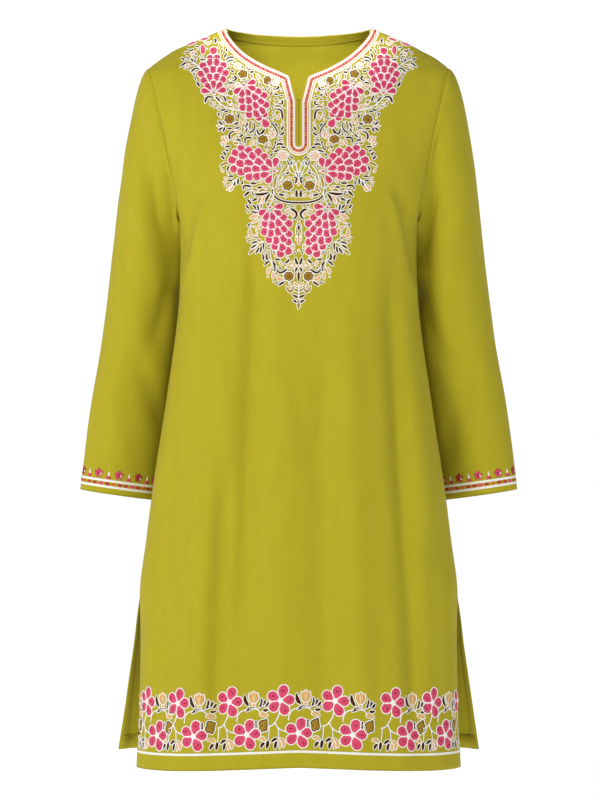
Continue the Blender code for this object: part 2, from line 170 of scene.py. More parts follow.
# The arm of a sleeve: the middle of each section, its half sizes, its turn and its tilt.
ArmLevel = namedtuple("ArmLevel", "z x y half_wide half_deep turn tilt")
ARM = table(ArmLevel,
    (-0.3000, 0.1990, 0.035, 0.0450, 0.0570, 7.0, 2.0),
    (-0.4000, 0.2068, 0.043, 0.0505, 0.0500, 15.0, 4.0),
    (-0.5000, 0.2206, 0.050, 0.0530, 0.0440, 22.0, 6.5),
    (-0.6080, 0.2346, 0.054, 0.0540, 0.0380, 25.0, 8.5),
)

# How a sleeve leaves its armhole, from the shoulder tip (0) round to the underarm (180).
CapStart = namedtuple("CapStart", "angle out inward down")
CAP = table(CapStart,
    (0.0, 0.0230, 0.0000, 0.0100),
    (50.0, 0.0180, 0.0000, 0.0280),
    (90.0, 0.0110, 0.0040, 0.0320),
    (135.0, 0.0070, 0.0100, 0.0180),
    (180.0, 0.0016, 0.0090, 0.0120),
)
ARM_PULL = 0.42
SEAM_TOP_GAP = 0.0004
UNDERARM_OFFSET = 0.0016
UNDERARM_SHARE = 1 / 3
SLEEVE_DIP = 0.0011       # depth of the valley at the armhole's seam
ARM_RADIUS = 0.05         # about a sleeve's own, to turn angles into distances
ROUND = 84                # cells round a sleeve

# ---- folds
# A fold runs down the cloth through three points, x to the wearer's left. Out is a ridge's
# height, or a trough's depth below zero, and sharp narrows the side away from the centre.
Fold = namedtuple("Fold", "x1 z1 x2 z2 x3 z3 width out sharp")
FRONT_FOLDS = table(Fold,
    (-0.116, -0.215, -0.128, -0.262, -0.142, -0.325, 0.009, 0.0020, 1.6),
    (-0.128, -0.205, -0.142, -0.255, -0.152, -0.310, 0.011, -0.0030, 1.0),
    (0.114, -0.205, 0.130, -0.270, 0.150, -0.350, 0.010, 0.0020, 1.5),
    (0.128, -0.200, 0.143, -0.265, 0.155, -0.335, 0.012, -0.0034, 1.0),
    (-0.056, -0.190, -0.061, -0.450, -0.079, -0.800, 0.0145, -0.0052, 1.2),
    (-0.098, -0.300, -0.112, -0.600, -0.128, -0.950, 0.024, 0.0036, 1.0),
    (-0.090, -0.540, -0.101, -0.720, -0.107, -0.930, 0.012, -0.0054, 1.1),
    (-0.020, -0.360, -0.018, -0.600, -0.030, -0.940, 0.026, 0.0030, 1.0),
    (0.030, -0.420, 0.028, -0.640, 0.034, -0.900, 0.014, -0.0026, 1.2),
    (0.060, -0.300, 0.070, -0.560, 0.082, -0.940, 0.018, 0.0034, 1.0),
    (0.114, -0.270, 0.133, -0.560, 0.156, -0.940, 0.0150, -0.0070, 1.1),
    (0.140, -0.420, 0.156, -0.580, 0.172, -0.760, 0.018, 0.0018, 1.0),
    (0.166, -0.610, 0.176, -0.780, 0.184, -0.940, 0.016, -0.0028, 1.0),
    (-0.150, -0.480, -0.168, -0.700, -0.178, -0.940, 0.013, -0.0020, 1.0),
)
BACK_FOLDS = table(Fold,
    (-0.118, -0.150, -0.110, -0.240, -0.096, -0.350, 0.012, -0.0030, 1.3),
    (0.120, -0.140, 0.108, -0.250, 0.098, -0.370, 0.013, -0.0034, 1.2),
    (-0.060, -0.260, -0.076, -0.560, -0.102, -0.930, 0.020, -0.0050, 1.3),
    (-0.104, -0.380, -0.124, -0.640, -0.160, -0.930, 0.022, 0.0036, 1.0),
    (-0.014, -0.300, -0.026, -0.600, -0.040, -0.930, 0.026, 0.0036, 1.0),
    (0.034, -0.340, 0.030, -0.640, 0.022, -0.920, 0.018, -0.0036, 1.4),
    (0.064, -0.240, 0.086, -0.560, 0.096, -0.930, 0.020, 0.0034, 1.0),
    (0.104, -0.420, 0.136, -0.660, 0.162, -0.930, 0.017, -0.0046, 1.3),
    (0.150, -0.520, 0.182, -0.760, 0.205, -0.930, 0.020, 0.0030, 1.0),
    (-0.148, -0.540, -0.176, -0.740, -0.206, -0.930, 0.016, -0.0034, 1.0),
)

# A sleeve's fold runs from one place to another. The angle goes round from the outermost line
# (0) by the front (90) to the body side (180) and the back (270), alike on both sleeves.
SleeveFold = namedtuple("SleeveFold", "side angle1 z1 angle2 z2 width out")
SLEEVE_FOLDS = table(SleeveFold,
    ("right", 28, -0.110, 128, -0.285, 0.014, -0.0032),
    ("right", 18, -0.150, 105, -0.330, 0.016, 0.0020),
    ("right", 150, -0.300, 95, -0.420, 0.014, -0.0018),
    ("right", 60, -0.410, 130, -0.520, 0.016, -0.0024),
    ("right", 20, -0.440, 70, -0.560, 0.018, 0.0020),
    ("left", 75, -0.130, 140, -0.300, 0.013, -0.0032),
    ("left", 40, -0.180, 100, -0.330, 0.018, 0.0024),
    ("left", 150, -0.330, 85, -0.450, 0.014, -0.0026),
    ("left", 55, -0.430, 115, -0.560, 0.016, -0.0022),
    ("both", 178, -0.245, 150, -0.330, 0.017, 0.0050),
    ("both", 112, -0.115, 150, -0.265, 0.020, -0.0030),
    ("right", 128, -0.270, 122, -0.430, 0.026, -0.0026),
    ("right", 90, -0.200, 97, -0.430, 0.026, -0.0032),
    ("both", 300, -0.150, 215, -0.300, 0.015, -0.0046),
    ("both", 330, -0.220, 240, -0.370, 0.017, 0.0030),
    ("both", 205, -0.320, 290, -0.430, 0.014, -0.0032),
    ("both", 310, -0.440, 240, -0.540, 0.016, -0.0026),
    ("both", 190, -0.360, 160, -0.500, 0.015, -0.0024),
)

# Small uneven waves all over the cloth: length, height and how far each wave leans.
Ripple = namedtuple("Ripple", "length height lean")
RIPPLES = table(Ripple,
    (0.110, 0.00060, 0.20), (0.076, 0.00042, -0.35), (0.058, 0.00030, 0.70),
    (0.043, 0.00020, -1.10), (0.033, 0.00013, 1.45), (0.026, 0.00009, 0.50),
)


# ---- embroidery
# All sizes here are in millimetres. A stroke runs through three places, each with its distance
# from the centre line and its height: ("kind", "thread", (width, x, z, x, z, x, z), ...).
STROKE_FULLNESS = 1.28
Spot = namedtuple("Spot", "kind thread size x z")
Bunch = namedtuple("Bunch", "x z turn wide rows")
Row = namedtuple("Row", "reach count spread")

# The yoke's half on the wearer's left. The other half is its mirror image.
YOKE_STROKES = (
    ("leaf", "pink",
     (3.0, 144.5, -24, 138, -22, 132, -20), (3.2, 127, -18, 121.5, -16, 115.5, -14.5),
     (4.6, 124, -39, 123.5, -31.5, 125, -24.5)),
    ("leaf", "peach",
     (2.2, 119, -24.5, 115.5, -22.5, 112.5, -19.5), (2.0, 122.5, -21, 119, -22, 115, -24),
     (2.4, 132.5, -33.5, 136, -37, 140.5, -37.5), (2.0, 140.5, -51.5, 143.5, -54.5, 146.5, -55),
     (1.8, 103.5, -23.5, 101.5, -22, 98.5, -23.5), (2.0, 92.5, -55.5, 90.5, -53, 89.5, -49.5),
     (1.8, 54.5, -69, 52.5, -71, 51.5, -74.5), (2.4, 90.5, -82.5, 87, -83, 82.5, -81),
     (2.0, 80.5, -86, 78.5, -84, 76, -85.5), (2.2, 83.5, -113.5, 85, -109, 82.5, -105.5),
     (2.0, 80.5, -113.5, 79, -109.5, 80.5, -106), (1.8, 76, -114, 74.5, -111, 76.5, -107.5),
     (1.6, 95.5, -134.5, 100.5, -134.5, 105, -133.5), (2.4, 74.5, -134, 74, -130, 74.5, -126.5),
     (2.0, 69, -125.5, 71, -122, 73, -119.5), (1.6, 67, -125.5, 67.5, -122, 69, -119),
     (1.8, 67.5, -127, 69, -129.5, 72, -131.5), (1.8, 80.5, -138, 78, -141.5, 74.5, -141.5),
     (1.6, 32.5, -90.5, 30, -88.5, 27.5, -89), (2.2, 26.5, -127, 25.5, -123, 23.5, -119),
     (1.8, 22, -135, 20.5, -132, 18, -130), (1.8, 27.5, -146.5, 30, -144.5, 31.5, -141.5),
     (2.6, 91.5, -155.5, 95, -152.5, 98, -147.5), (2.2, 89, -155, 92, -151, 93.5, -146.5),
     (2.0, 93, -157.5, 96, -157.5, 99.5, -155.5), (2.0, 83, -154.5, 82.5, -151, 80, -147.5),
     (2.4, 60.5, -160, 60, -156.5, 57, -153), (2.0, 55.5, -160, 55.5, -156.5, 54, -153),
     (2.4, 31.5, -150, 34, -147, 38, -141.5), (2.0, 33.5, -150, 37.5, -149, 41.5, -145),
     (2.0, 35, -160, 37, -158, 37.5, -154), (3.0, 85, -209, 88, -212.5, 92, -217),
     (2.4, 83.5, -211.5, 85, -215, 88.5, -218.5), (2.0, 39, -215.5, 43, -213.5, 46.5, -212),
     (2.2, 41.5, -223.5, 45, -228.5, 47.5, -235), (3.0, 51.5, -247.5, 57.5, -250.5, 63, -253),
     (2.2, 51.5, -252.5, 55, -256, 60.5, -259.5), (3.0, 36, -315, 38.5, -319.5, 38.5, -324),
     (2.6, 32.5, -320, 32, -325.5, 33.5, -330), (2.2, 25, -310, 22.5, -310, 20.5, -313.5),
     (3.2, 17.5, -330.5, 24, -330, 27.5, -324.5), (2.0, 1.5, -313.5, 5.5, -314, 9.5, -313.5),
     (2.2, 1, -339.5, 4, -336.5, 6.5, -334.5), (2.0, 10, -244.5, 7.5, -247.5, 8.5, -251.5),
     (1.6, 1.5, -282.5, 3, -279, 2.5, -275.5), (1.8, 25.5, -211.5, 24, -208, 21.5, -205),
     (2.0, 16.5, -205, 12.5, -202, 8.5, -202.5), (2.0, 10, -225.5, 8, -224.5, 6, -225.5)),
    ("hook", "brown",
     (2.2, 110, -22.5, 107, -19.5, 109.5, -15.5), (1.8, 142.5, -29.5, 139, -33.5, 136.5, -30),
     (2.0, 126, -61, 132, -58, 138, -64), (2.0, 93.5, -48, 89.5, -43, 82.5, -43.5),
     (1.8, 92.5, -51.5, 89, -47.5, 83.5, -48), (2.2, 86, -75, 80, -72.5, 83.5, -68),
     (2.0, 90.5, -79.5, 88, -77.5, 83.5, -78), (2.0, 97.5, -94.5, 94.5, -97.5, 93.5, -103),
     (2.4, 107.5, -98.5, 116, -96, 119.5, -105), (1.8, 57.5, -128.5, 56.5, -138.5, 64.5, -144),
     (2.6, 53.5, -136.5, 49.5, -145.5, 42.5, -137), (2.2, 34, -85.5, 28, -87, 25.5, -82),
     (2.0, 27.5, -105.5, 21, -106, 22, -100.5), (2.2, 30, -115, 22.5, -115, 20.5, -128.5),
     (2.2, 80, -141.5, 87.5, -144.5, 87, -153), (2.2, 67, -158.5, 67.5, -150.5, 58, -150.5),
     (2.4, 29.5, -161.5, 25, -158, 19.5, -160), (2.2, 70, -217.5, 68.5, -211.5, 59, -213),
     (2.2, 29.5, -313.5, 23.5, -322, 14, -316), (2.8, 8, -255.5, 2.5, -247.5, 11.5, -240.5),
     (2.2, 14.5, -178, 11.5, -185, 8.5, -179.5), (2.4, 7, -200.5, 2.5, -203, 5, -209.5)),
    ("leaf", "brown",
     (2.0, 131, -39.5, 132.5, -38, 134, -36), (2.0, 146.5, -46, 149, -44.5, 151, -42),
     (2.0, 136, -49.5, 137, -46.5, 139, -44), (2.2, 143.5, -49.5, 147.5, -51.5, 152.5, -56),
     (2.0, 134, -50.5, 133, -48, 131, -47), (2.0, 94.5, -34.5, 93, -32.5, 93, -30),
     (2.0, 95, -43.5, 94.5, -40, 91, -37), (2.0, 74.5, -55, 72.5, -56, 70.5, -58),
     (2.2, 63, -64, 60, -63.5, 56.5, -63), (1.8, 66, -56.5, 64, -59.5, 61, -60),
     (2.4, 107, -95.5, 104, -98.5, 99.5, -103), (2.0, 92.5, -111.5, 97, -113.5, 102, -112),
     (2.0, 89.5, -114, 92.5, -115.5, 96, -115.5), (2.2, 95.5, -134, 99, -131, 102.5, -127),
     (2.2, 96, -135.5, 99.5, -138, 102.5, -141), (2.2, 94.5, -135.5, 95, -139, 97, -142.5),
     (2.2, 76, -130, 79.5, -131.5, 82.5, -134), (2.0, 74.5, -136, 79, -137.5, 83, -138),
     (2.0, 75, -125, 77, -121.5, 74, -118), (1.8, 65, -129, 66, -133.5, 68.5, -137.5),
     (1.8, 65, -137, 66.5, -140, 67.5, -143), (2.0, 31.5, -94, 29, -93.5, 26, -95.5),
     (2.0, 26.5, -135.5, 28.5, -133.5, 30.5, -130), (2.2, 23, -141, 20.5, -137.5, 18.5, -135),
     (2.2, 24, -147, 20.5, -145, 18, -142), (1.8, 26, -154.5, 23.5, -152.5, 21, -152),
     (2.0, 80.5, -153, 76, -152.5, 73.5, -155.5), (2.0, 76, -157, 73, -157.5, 70, -160),
     (2.0, 86, -160.5, 90, -161, 95, -160.5), (1.6, 93, -158.5, 95.5, -159.5, 98, -158.5),
     (2.0, 32, -168.5, 28, -167, 23.5, -165.5), (2.2, 94, -177.5, 96.5, -175, 99.5, -172.5),
     (2.0, 88.5, -185.5, 90, -189, 91, -193), (2.0, 82, -199.5, 86, -199, 90, -199.5),
     (2.0, 83.5, -205.5, 87, -204.5, 91, -204), (2.2, 82, -212.5, 81.5, -208, 80.5, -203.5),
     (2.2, 77.5, -210, 77, -205.5, 77, -201), (2.6, 62.5, -218, 65.5, -221, 70, -225.5),
     (2.2, 53, -215.5, 49.5, -213.5, 45.5, -214.5), (2.8, 36.5, -220, 48, -222.5, 59, -221),
     (2.0, 56, -224.5, 58.5, -221.5, 59.5, -217.5), (2.4, 52.5, -227.5, 56, -229, 60, -231),
     (2.6, 36, -221, 40, -227, 43, -233.5), (2.2, 53.5, -243, 56, -238.5, 59.5, -235),
     (2.4, 51, -243.5, 52, -239.5, 52.5, -234.5), (2.2, 51, -245.5, 56, -245.5, 61.5, -242.5),
     (2.0, 52, -278.5, 56, -277.5, 60.5, -278), (2.0, 52.5, -283, 57, -283.5, 62, -286),
     (2.2, 52.5, -287.5, 57.5, -288.5, 62.5, -292), (2.2, 51, -289.5, 53, -294, 56.5, -298),
     (2.2, 48, -288, 48.5, -293, 50, -297.5), (2.0, 45.5, -283.5, 45, -288.5, 45.5, -294),
     (2.4, 36.5, -306.5, 41, -303, 39, -296), (2.4, 36, -306.5, 40, -309, 44.5, -313.5),
     (2.6, 33.5, -307, 30, -314, 31.5, -322), (2.0, 30, -306.5, 26.5, -305, 23, -307),
     (2.4, 17.5, -333, 21.5, -335.5, 26, -339), (2.4, 0.5, -354, 4, -352, 8.5, -350.5),
     (2.4, 0.5, -360, 4, -358.5, 8, -356.5), (2.6, 0.5, -312, 3, -308, 4, -302),
     (2.4, 1, -314.5, 3, -317.5, 4, -322), (2.0, 21.5, -200, 19, -197.5, 17, -194.5),
     (2.0, 16, -197.5, 14, -195.5, 11, -193.5), (2.0, 0.5, -201.5, 2, -197, 4.5, -194),
     (2.4, 25.5, -222, 22, -223.5, 17.5, -224.5), (2.8, 3.5, -227, 2.5, -222, 3.5, -216.5)),
    ("hook", "ochre",
     (1.8, 138.5, -42.5, 134, -41, 131.5, -46.5), (3.0, 16, -338, 10.5, -346, 5.5, -337.5)),
    ("stem", "white",
     (1.3, 127, -58, 135.5, -50, 148, -44), (1.3, 56, -66, 50, -67.5, 48, -73.5),
     (1.4, 108.5, -93, 97.5, -107, 75, -115), (1.2, 77, -201, 82.5, -207.5, 89.5, -216.5),
     (1.4, 32.5, -217.5, 32, -226, 36, -236.5), (1.2, 44.5, -282.5, 52.5, -286.5, 60.5, -295.5),
     (1.2, 36, -296.5, 34.5, -306.5, 33.5, -317), (1.1, 1.5, -258, 4, -270.5, 0.5, -280.5),
     (1.2, 26.5, -207, 23, -194, 16, -184.5), (1.2, 24, -206, 18, -195.5, 13, -186.5)),
    ("leaf", "ochre",
     (2.0, 141.5, -46.5, 143, -43.5, 144.5, -40), (2.0, 134, -52, 137.5, -53.5, 141, -52.5),
     (2.0, 100, -38, 99, -33.5, 97, -30.5), (2.0, 67.5, -60.5, 66, -57.5, 66.5, -54.5),
     (1.8, 99.5, -93, 97, -91, 94.5, -93.5), (2.0, 99, -110, 101.5, -112, 104, -110),
     (2.0, 92, -110, 87.5, -109, 83.5, -111), (2.0, 110.5, -102, 112.5, -105, 110, -108.5),
     (1.8, 105, -106, 105.5, -108.5, 108.5, -110.5),
     (1.8, 94.5, -133.5, 95.5, -130, 97.5, -127.5), (2.4, 62, -140, 62, -133.5, 59.5, -127.5),
     (2.0, 73.5, -142.5, 71, -139, 72, -135), (2.4, 38, -77.5, 35.5, -80.5, 33.5, -83.5),
     (2.0, 32, -100.5, 29, -99.5, 25.5, -100.5), (2.2, 31.5, -110.5, 27, -109, 20, -111),
     (2.4, 33, -116, 31.5, -120, 29, -124), (1.8, 26.5, -148.5, 23.5, -150, 19.5, -150),
     (2.2, 83, -157, 79.5, -157, 76.5, -158), (2.6, 89, -182, 95, -183, 100.5, -187),
     (2.0, 67, -217.5, 64, -216.5, 60.5, -217), (2.4, 59, -217, 55.5, -216, 52.5, -219),
     (2.4, 51, -219.5, 46.5, -217, 41.5, -218), (2.2, 48, -226, 50, -230, 51.5, -234.5),
     (2.0, 48, -240.5, 47.5, -237, 46, -233.5), (2.6, 55.5, -291, 60, -294.5, 64.5, -299),
     (2.0, 47.5, -282.5, 51, -281, 54.5, -280), (1.8, 12, -317.5, 8.5, -315.5, 5, -318),
     (2.4, 0.5, -346.5, 4, -343.5, 8.5, -342.5), (2.4, 31.5, -216, 30, -206, 27.5, -197.5),
     (2.0, 28.5, -219.5, 24, -217.5, 19.5, -215)),
    ("leaf", "red",
     (2.0, 36.5, -96, 35, -92.5, 33.5, -89.5), (1.6, 31, -148.5, 33, -145, 34.5, -141)),
    ("vine", "brown",
     (1.6, 35, -130.5, 28, -140.5, 28.5, -149), (1.6, 34.5, -166, 30, -160, 30, -154),
     (1.9, 33.5, -216.5, 25, -229.5, 0, -233.5)),
    ("hook", "peach",
     (3.0, 52, -272, 60.5, -276.5, 63, -265)),
    ("lotus", "none",
     (3.6, 0.5, -198, 4.5, -189, 6, -179), (3.2, 2, -198.5, 9.5, -191, 11, -183.5)),
)
YOKE_CENTRE = (
    ("stem", "white",
     (1.2, 0, -337.5, 0, -347, 0, -356)),
    ("leaf", "ochre",
     (3.2, 0, -355, 0, -361.5, 0, -368.5), (2.4, 0, -270.5, 0, -273.5, 0, -277)),
    ("leaf", "brown",
     (2.6, 0, -320.5, 0, -327, 0, -334), (2.6, 0, -268.5, 0, -265, 0, -261.5)),
    ("lotus", "none",
     (4.2, 0, -196, 0, -187.5, 0, -179)),
    ("leaf", "peach",
     (2.2, 0, -212, 0, -207.5, 0, -204)),
)
YOKE_SPOTS = table(Spot,
    ("rose", "peach", 4.2, 78.5, -55), ("flower", "ochre", 5.4, 71.5, -66),
    ("dot", "brown", 1.1, 87, -55.5), ("rose", "peach", 3.2, 78, -80.5),
    ("ring", "brown", 4.4, 86.5, -91), ("ring", "ochre", 2.9, 88, -103),
    ("flower", "ochre", 5.8, 88, -125.5), ("dot", "red", 0.9, 66.5, -121.5),
    ("flower", "ochre", 5.0, 40, -75), ("rose", "peach", 3.4, 29, -78),
    ("dot", "brown", 0.9, 31, -120), ("dot", "red", 0.9, 128.5, -17),
    ("dot", "red", 0.8, 127, -41.5), ("flower", "ochre", 5.6, 45.5, -152),
    ("rose", "peach", 6.0, 20, -173), ("flower", "ochre", 5.4, 12.5, -326.5),
    ("flower", "ochre", 6.0, 14, -211.5),
)
CENTRE_SPOTS = table(Spot,
    ("dot", "red", 1.3, 0, -285.5),
    ("dot", "peach", 1.2, 0, -294),
    ("dot", "magenta", 1.2, 0, -256.5),
)

# Grape-like bunches of petals, in rows that spread from a small round at their foot.
BUNCHES = (
    Bunch(108.5, -91, 2, 9.2, (
        Row(11.6, 5, 74), Row(21.6, 4, 37), Row(31.4, 5, 32.5), Row(41.2, 4, 19),
        Row(50.0, 2, 5.4), Row(57.6, 1, 0))),
    Bunch(70.5, -81, -150, 9.2, (
        Row(11.6, 5, 76), Row(21.6, 4, 37), Row(31.2, 5, 32.5), Row(40.8, 4, 19),
        Row(49.6, 2, 5.4), Row(56.8, 1, 0))),
    Bunch(31.0, -193.5, 70, 9.9, (
        Row(12.8, 5, 78), Row(23.4, 4, 38), Row(34.0, 5, 33), Row(44.6, 4, 20),
        Row(54.6, 4, 16))),
    Bunch(36.5, -239.5, -162, 9.4, (
        Row(12.2, 5, 78), Row(22.4, 4, 38), Row(32.6, 5, 32), Row(42.8, 4, 19),
        Row(52.8, 3, 10.6), Row(62.6, 2, 4.6))),
)

# The hem's pattern, repeated along it, from the middle of each upper flower.
HEM_PLACES = (-278.0, -216.0, -156.5, -88.0, -22.5, 46.0, 121.0, 183.0, 245.0)
UPPER_FLOWER = 85.8
HEM_REPEAT = (
    ("stem", "white",
     (1.4, 10, -26, 13.5, -14, 24.5, -10.5), (1.3, 24.5, -10.5, 33, -9, 41, -16.5),
     (1.1, 33.5, -11, 41, -7.5, 48, -5.5), (1.4, -1.5, -13.5, -3.6, -21, -7, -26.5),
     (1.4, -7, -26.5, -11, -31, -17, -32.3), (1.4, -7, -26.5, -3, -35, 6.5, -39.5),
     (1.2, -14.5, -32.5, -15, -40.5, -16, -49.5), (1.2, -4, -34.5, -3, -40.5, -3, -47.5)),
    ("leaf", "brown",
     (3.0, 21, -13, 27, -9, 34.5, -8.4), (3.6, 25.6, -6, 21.0, 1, 20.6, 9.5),
     (2.6, 38.2, -8, 41.4, -3, 41.0, 4.5),
     (2.8, 42.5, -6, 45, -2.5, 46.5, 2), (2.8, 45, -6.5, 48.4, -5, 51, -0.5),
     (2.8, 43, -10.8, 46.5, -12, 51, -10.5), (2.6, 35.0, -24.5, 33.4, -29, 35, -35),
     (3.2, -20, -53, -23.5, -55, -25.4, -60), (3.4, -16, -49.5, -16.8, -55, -18, -61),
     (3.0, -4.5, -49, -8, -49, -12.5, -53), (3.0, -4.5, -51, -6.8, -56, -7.2, -61.5)),
    ("leaf", "peach",
     (3.4, -2.5, -47.5, 2.8, -52.5, 2.8, -60), (2.6, 29.2, -6.2, 31.5, -4.6, 34, -6)),
    ("leaf", "gold",
     (4.4, 38.5, -17.5, 43.5, -16.8, 50, -19.5), (2.4, -1.5, -50.5, -1.0, -55.5, -1.5, -61),
     (3.6, -19.5, -51.5, -23, -47.5, -29, -48)),
)
HEM_FLOWERS = table(
    Spot, ("blossom", "pink", 20.0, 0.0, 0.0), ("blossom", "pink", 20.2, 22.5, -42.0))
BLOSSOM_SQUEEZE = 0.87
# Half of a tulip's edge from its foot up to the middle of its crown, in tenths of its size.
TULIP = (
    (0, -7.2), (2.6, -6.6), (4.8, -4.2), (6.0, -0.8), (6.2, 3.0), (5.9, 6.0), (4.8, 7.4),
    (3.4, 7.2), (2.6, 6.4), (1.9, 8.2), (0.9, 9.2), (0, 9.4),
)
HEM_SPOTS = table(Spot,
    ("cup", "ochre", 5.8, 43.6, -31.0),
    ("tulip", "gold", 10.0, 31.5, 3.8),
)

# The outer edge of the yoke's half, down from the shoulder to its tip, and the small leaves that
# fill the gaps inside it: each size's length and width, and how often a place is tried.
YOKE_EDGE = (
    (99, -7), (112, -14), (128, -22), (147, -33), (151, -58), (137, -65), (121, -100),
    (106, -114), (102, -132), (98, -146), (96, -158), (100, -184), (95, -216), (76, -204),
    (71, -222), (66, -257), (68, -266), (67, -297), (50, -299), (46, -312), (42, -327),
    (29, -338), (10, -342), (8, -361), (0, -369),
)
Filling = namedtuple("Filling", "length width tries")
YOKE_FILLING = table(Filling,
    (9.0, 2.3, 2600), (7.2, 2.1, 3200), (5.8, 1.8, 4200),
    (4.4, 1.5, 5200), (3.2, 1.1, 5200), (2.2, 0.8, 5200),
)
FILLING_THREADS = ("brown", "brown", "brown", "peach", "gold", "ochre")
FILLING_MARGIN = 1.1      # of a leaf's test, round its thread: outlines may touch each other

# The bands of the neck border, from its inner edge: (middle, width, thread).
NECK_BANDS = (
    (0.35, 0.6, "peach thread"), (1.40, 1.2, "white thread"), (2.90, 1.3, "white thread"),
    (8.00, 1.3, "white thread"), (9.20, 0.5, "peach thread"), (10.65, 1.8, "white thread"),
)
NECK_CHAIN = 5.4          # middle of the chain, from the same edge

# From here on in metres.
YOKE_START = 0.0128       # where the yoke's small leaves begin, from that edge
HALF_START = 0.0008       # and beside the centre line
YOKE_EDGE_TIP = -0.366    # foot of the yoke's edge there
CELL = 0.0005             # of the grid that finds the gaps
# The rows beside the slit are its stitched edges, in a thread far darker than the cloth: painted
# shade of the slit's gap.
SLIT_ROW_X = 0.00075      # rows of stitches beside the slit
SLIT_ROW_FOOT = -0.1570
CUFF_ROW_UP = 0.0034
CUFF_FLOWERS = 11         # round each cuff
CUFF_FLOWER_UP = 0.0256
DASH_PITCH = 0.0083


# ---- sizes and colours to change
def a_length(name, description, default, low, high, precision=4):
    return FloatProperty(name=name, description=description, default=default, min=low, max=high,
                         unit="LENGTH", precision=precision)


def a_colour(name, description, default):
    return FloatVectorProperty(name=name, description=description, default=default,
                               subtype="COLOR", size=3, min=0, max=1)


def a_power(name, description, default):
    return FloatProperty(name=name, description=description, default=default, min=0.0,
                         max=2000.0, unit="POWER")


class KurtaSizes(bpy.types.PropertyGroup):
    """Sizes of the cloth, its seams and its thread"""

    cloth: a_length("Cloth", "Thickness of the cloth", 0.0008, 0.0003, 0.0012, 5)
    fold_strength: FloatProperty(
        name="Folds", description="Depth of all the folds, against the table's",
        default=1.8, min=0.0, max=3.0, subtype="FACTOR")
    weave: a_length(
        "Weave", "Distance from one thread of the cloth to the next", 0.00055, 0.0003, 0.002, 5)
    allowance: a_length(
        "Seam allowance", "Width of the cloth inside each seam", 0.0060, 0.003, 0.012)
    hem_turning: a_length(
        "Hem turning", "Width of cloth folded inside at the hems", 0.0180, 0.008, 0.03)
    vent_turning: a_length(
        "Vent turning", "Width of cloth folded inside along the vents", 0.0100, 0.006, 0.02)
    stitch: a_length("Stitch", "Length of a machine stitch", 0.0024, 0.0015, 0.004)
    outline: a_length(
        "Outline thread", "Width of the white outlines of the embroidery",
        0.00148, 0.0006, 0.002, 5)
    columns: IntProperty(
        name="Columns", description="Cells across half a panel",
        default=58, min=16, max=90)


class KurtaColours(bpy.types.PropertyGroup):
    """Colours of the cloth and the threads"""

    cloth: a_colour("Cloth", "Olive green of the cloth", (0.398, 0.340, 0.0158))
    white: a_colour("White thread", "Outlines, stems and braids", (0.90, 0.89, 0.855))
    pink: a_colour("Pink thread", "Petals", (0.77, 0.078, 0.170))
    magenta: a_colour(
        "Magenta thread", "The petals' darker rounds and dots", (0.27, 0.010, 0.040))
    red: a_colour(
        "Red thread", "Chain along the neck border, dashes and flowers of the cuffs",
        (0.50, 0.046, 0.044))
    peach: a_colour("Peach thread", "Buds, roses and pale leaves", (0.78, 0.43, 0.20))
    orange: a_colour(
        "Orange thread", "Some blocks of the chain, some dashes and the marks on small flowers",
        (0.70, 0.16, 0.03))
    gold: a_colour(
        "Gold thread", "Tulips, pale leaves of the hem and the neck border's ground",
        (0.74, 0.46, 0.16))
    ochre: a_colour("Ochre thread", "Small flowers", (0.45, 0.26, 0.018))
    brown: a_colour("Brown thread", "Scrolls and dark leaves", (0.074, 0.020, 0.004))


class KurtaStage(bpy.types.PropertyGroup):
    """Floor, lights and camera"""

    floor_drop: a_length("Floor", "Distance from the hem down to the floor", 0.09, 0.0, 1.0, 2)
    camera_distance: a_length(
        "Camera distance", "From the camera to the garment's side seams", 4.5, 1.0, 20.0, 2)
    view_height: a_length(
        "View height", "Height of what the camera sees at the side seams", 1.04, 0.2, 4.0, 2)
    key_power: a_power("Key light", "Power of the large light at the front", 111.0)
    neck_power: a_power("Neck light", "Power of the narrow light into the neck", 480.0)


# ---- curves through tables
class Curve:
    """A smooth curve through a table's values, which never runs past them."""

    def __init__(self, places, values):
        order = np.argsort(np.asarray(places, float), kind="stable")
        self.x = np.asarray(places, float)[order]
        self.y = np.asarray(values, float)[order]
        step = np.diff(self.x)
        slope = np.diff(self.y) / step
        self.tangent = np.zeros(len(self.x))
        self.tangent[0], self.tangent[-1] = slope[0], slope[-1]
        one, two = slope[:-1], slope[1:]
        same = one * two > 0
        before = 2 * step[1:] + step[:-1]
        after = step[1:] + 2 * step[:-1]
        middle = np.zeros(len(one))
        middle[same] = (before + after)[same] / (
            before[same] / one[same] + after[same] / two[same])
        self.tangent[1:-1] = middle

    def __call__(self, at):
        at = np.clip(at, self.x[0], self.x[-1])
        i = np.clip(np.searchsorted(self.x, at, side="right") - 1, 0, len(self.x) - 2)
        step = self.x[i + 1] - self.x[i]
        t = (at - self.x[i]) / step
        return (
            (1 + 2 * t) * (1 - t) ** 2 * self.y[i]
            + t * (1 - t) ** 2 * step * self.tangent[i]
            + t * t * (3 - 2 * t) * self.y[i + 1]
            + t * t * (t - 1) * step * self.tangent[i + 1]
        )


def column(rows, name):
    return [getattr(row, name) for row in rows]


def curve_of(rows, key, value):
    return Curve(column(rows, key), column(rows, value))


def soften(t):
    """0 below 0 and 1 above 1, with a smooth step between."""
    t = np.clip(t, 0.0, 1.0)
    return t * t * (3 - 2 * t)


def unit(v):
    return v / np.maximum(np.linalg.norm(v, axis=-1, keepdims=True), 1e-12)


def points_of(x, y, z):
    return np.stack(np.broadcast_arrays(x, y, z), axis=-1)


def lengths(grid, axis):
    """Distance run along a grid of points, from its first row or column."""
    step = np.linalg.norm(np.diff(grid, axis=axis), axis=-1)
    first = np.zeros_like(np.take(step, [0], axis=axis))
    return np.cumsum(np.concatenate([first, step], axis=axis), axis=axis)


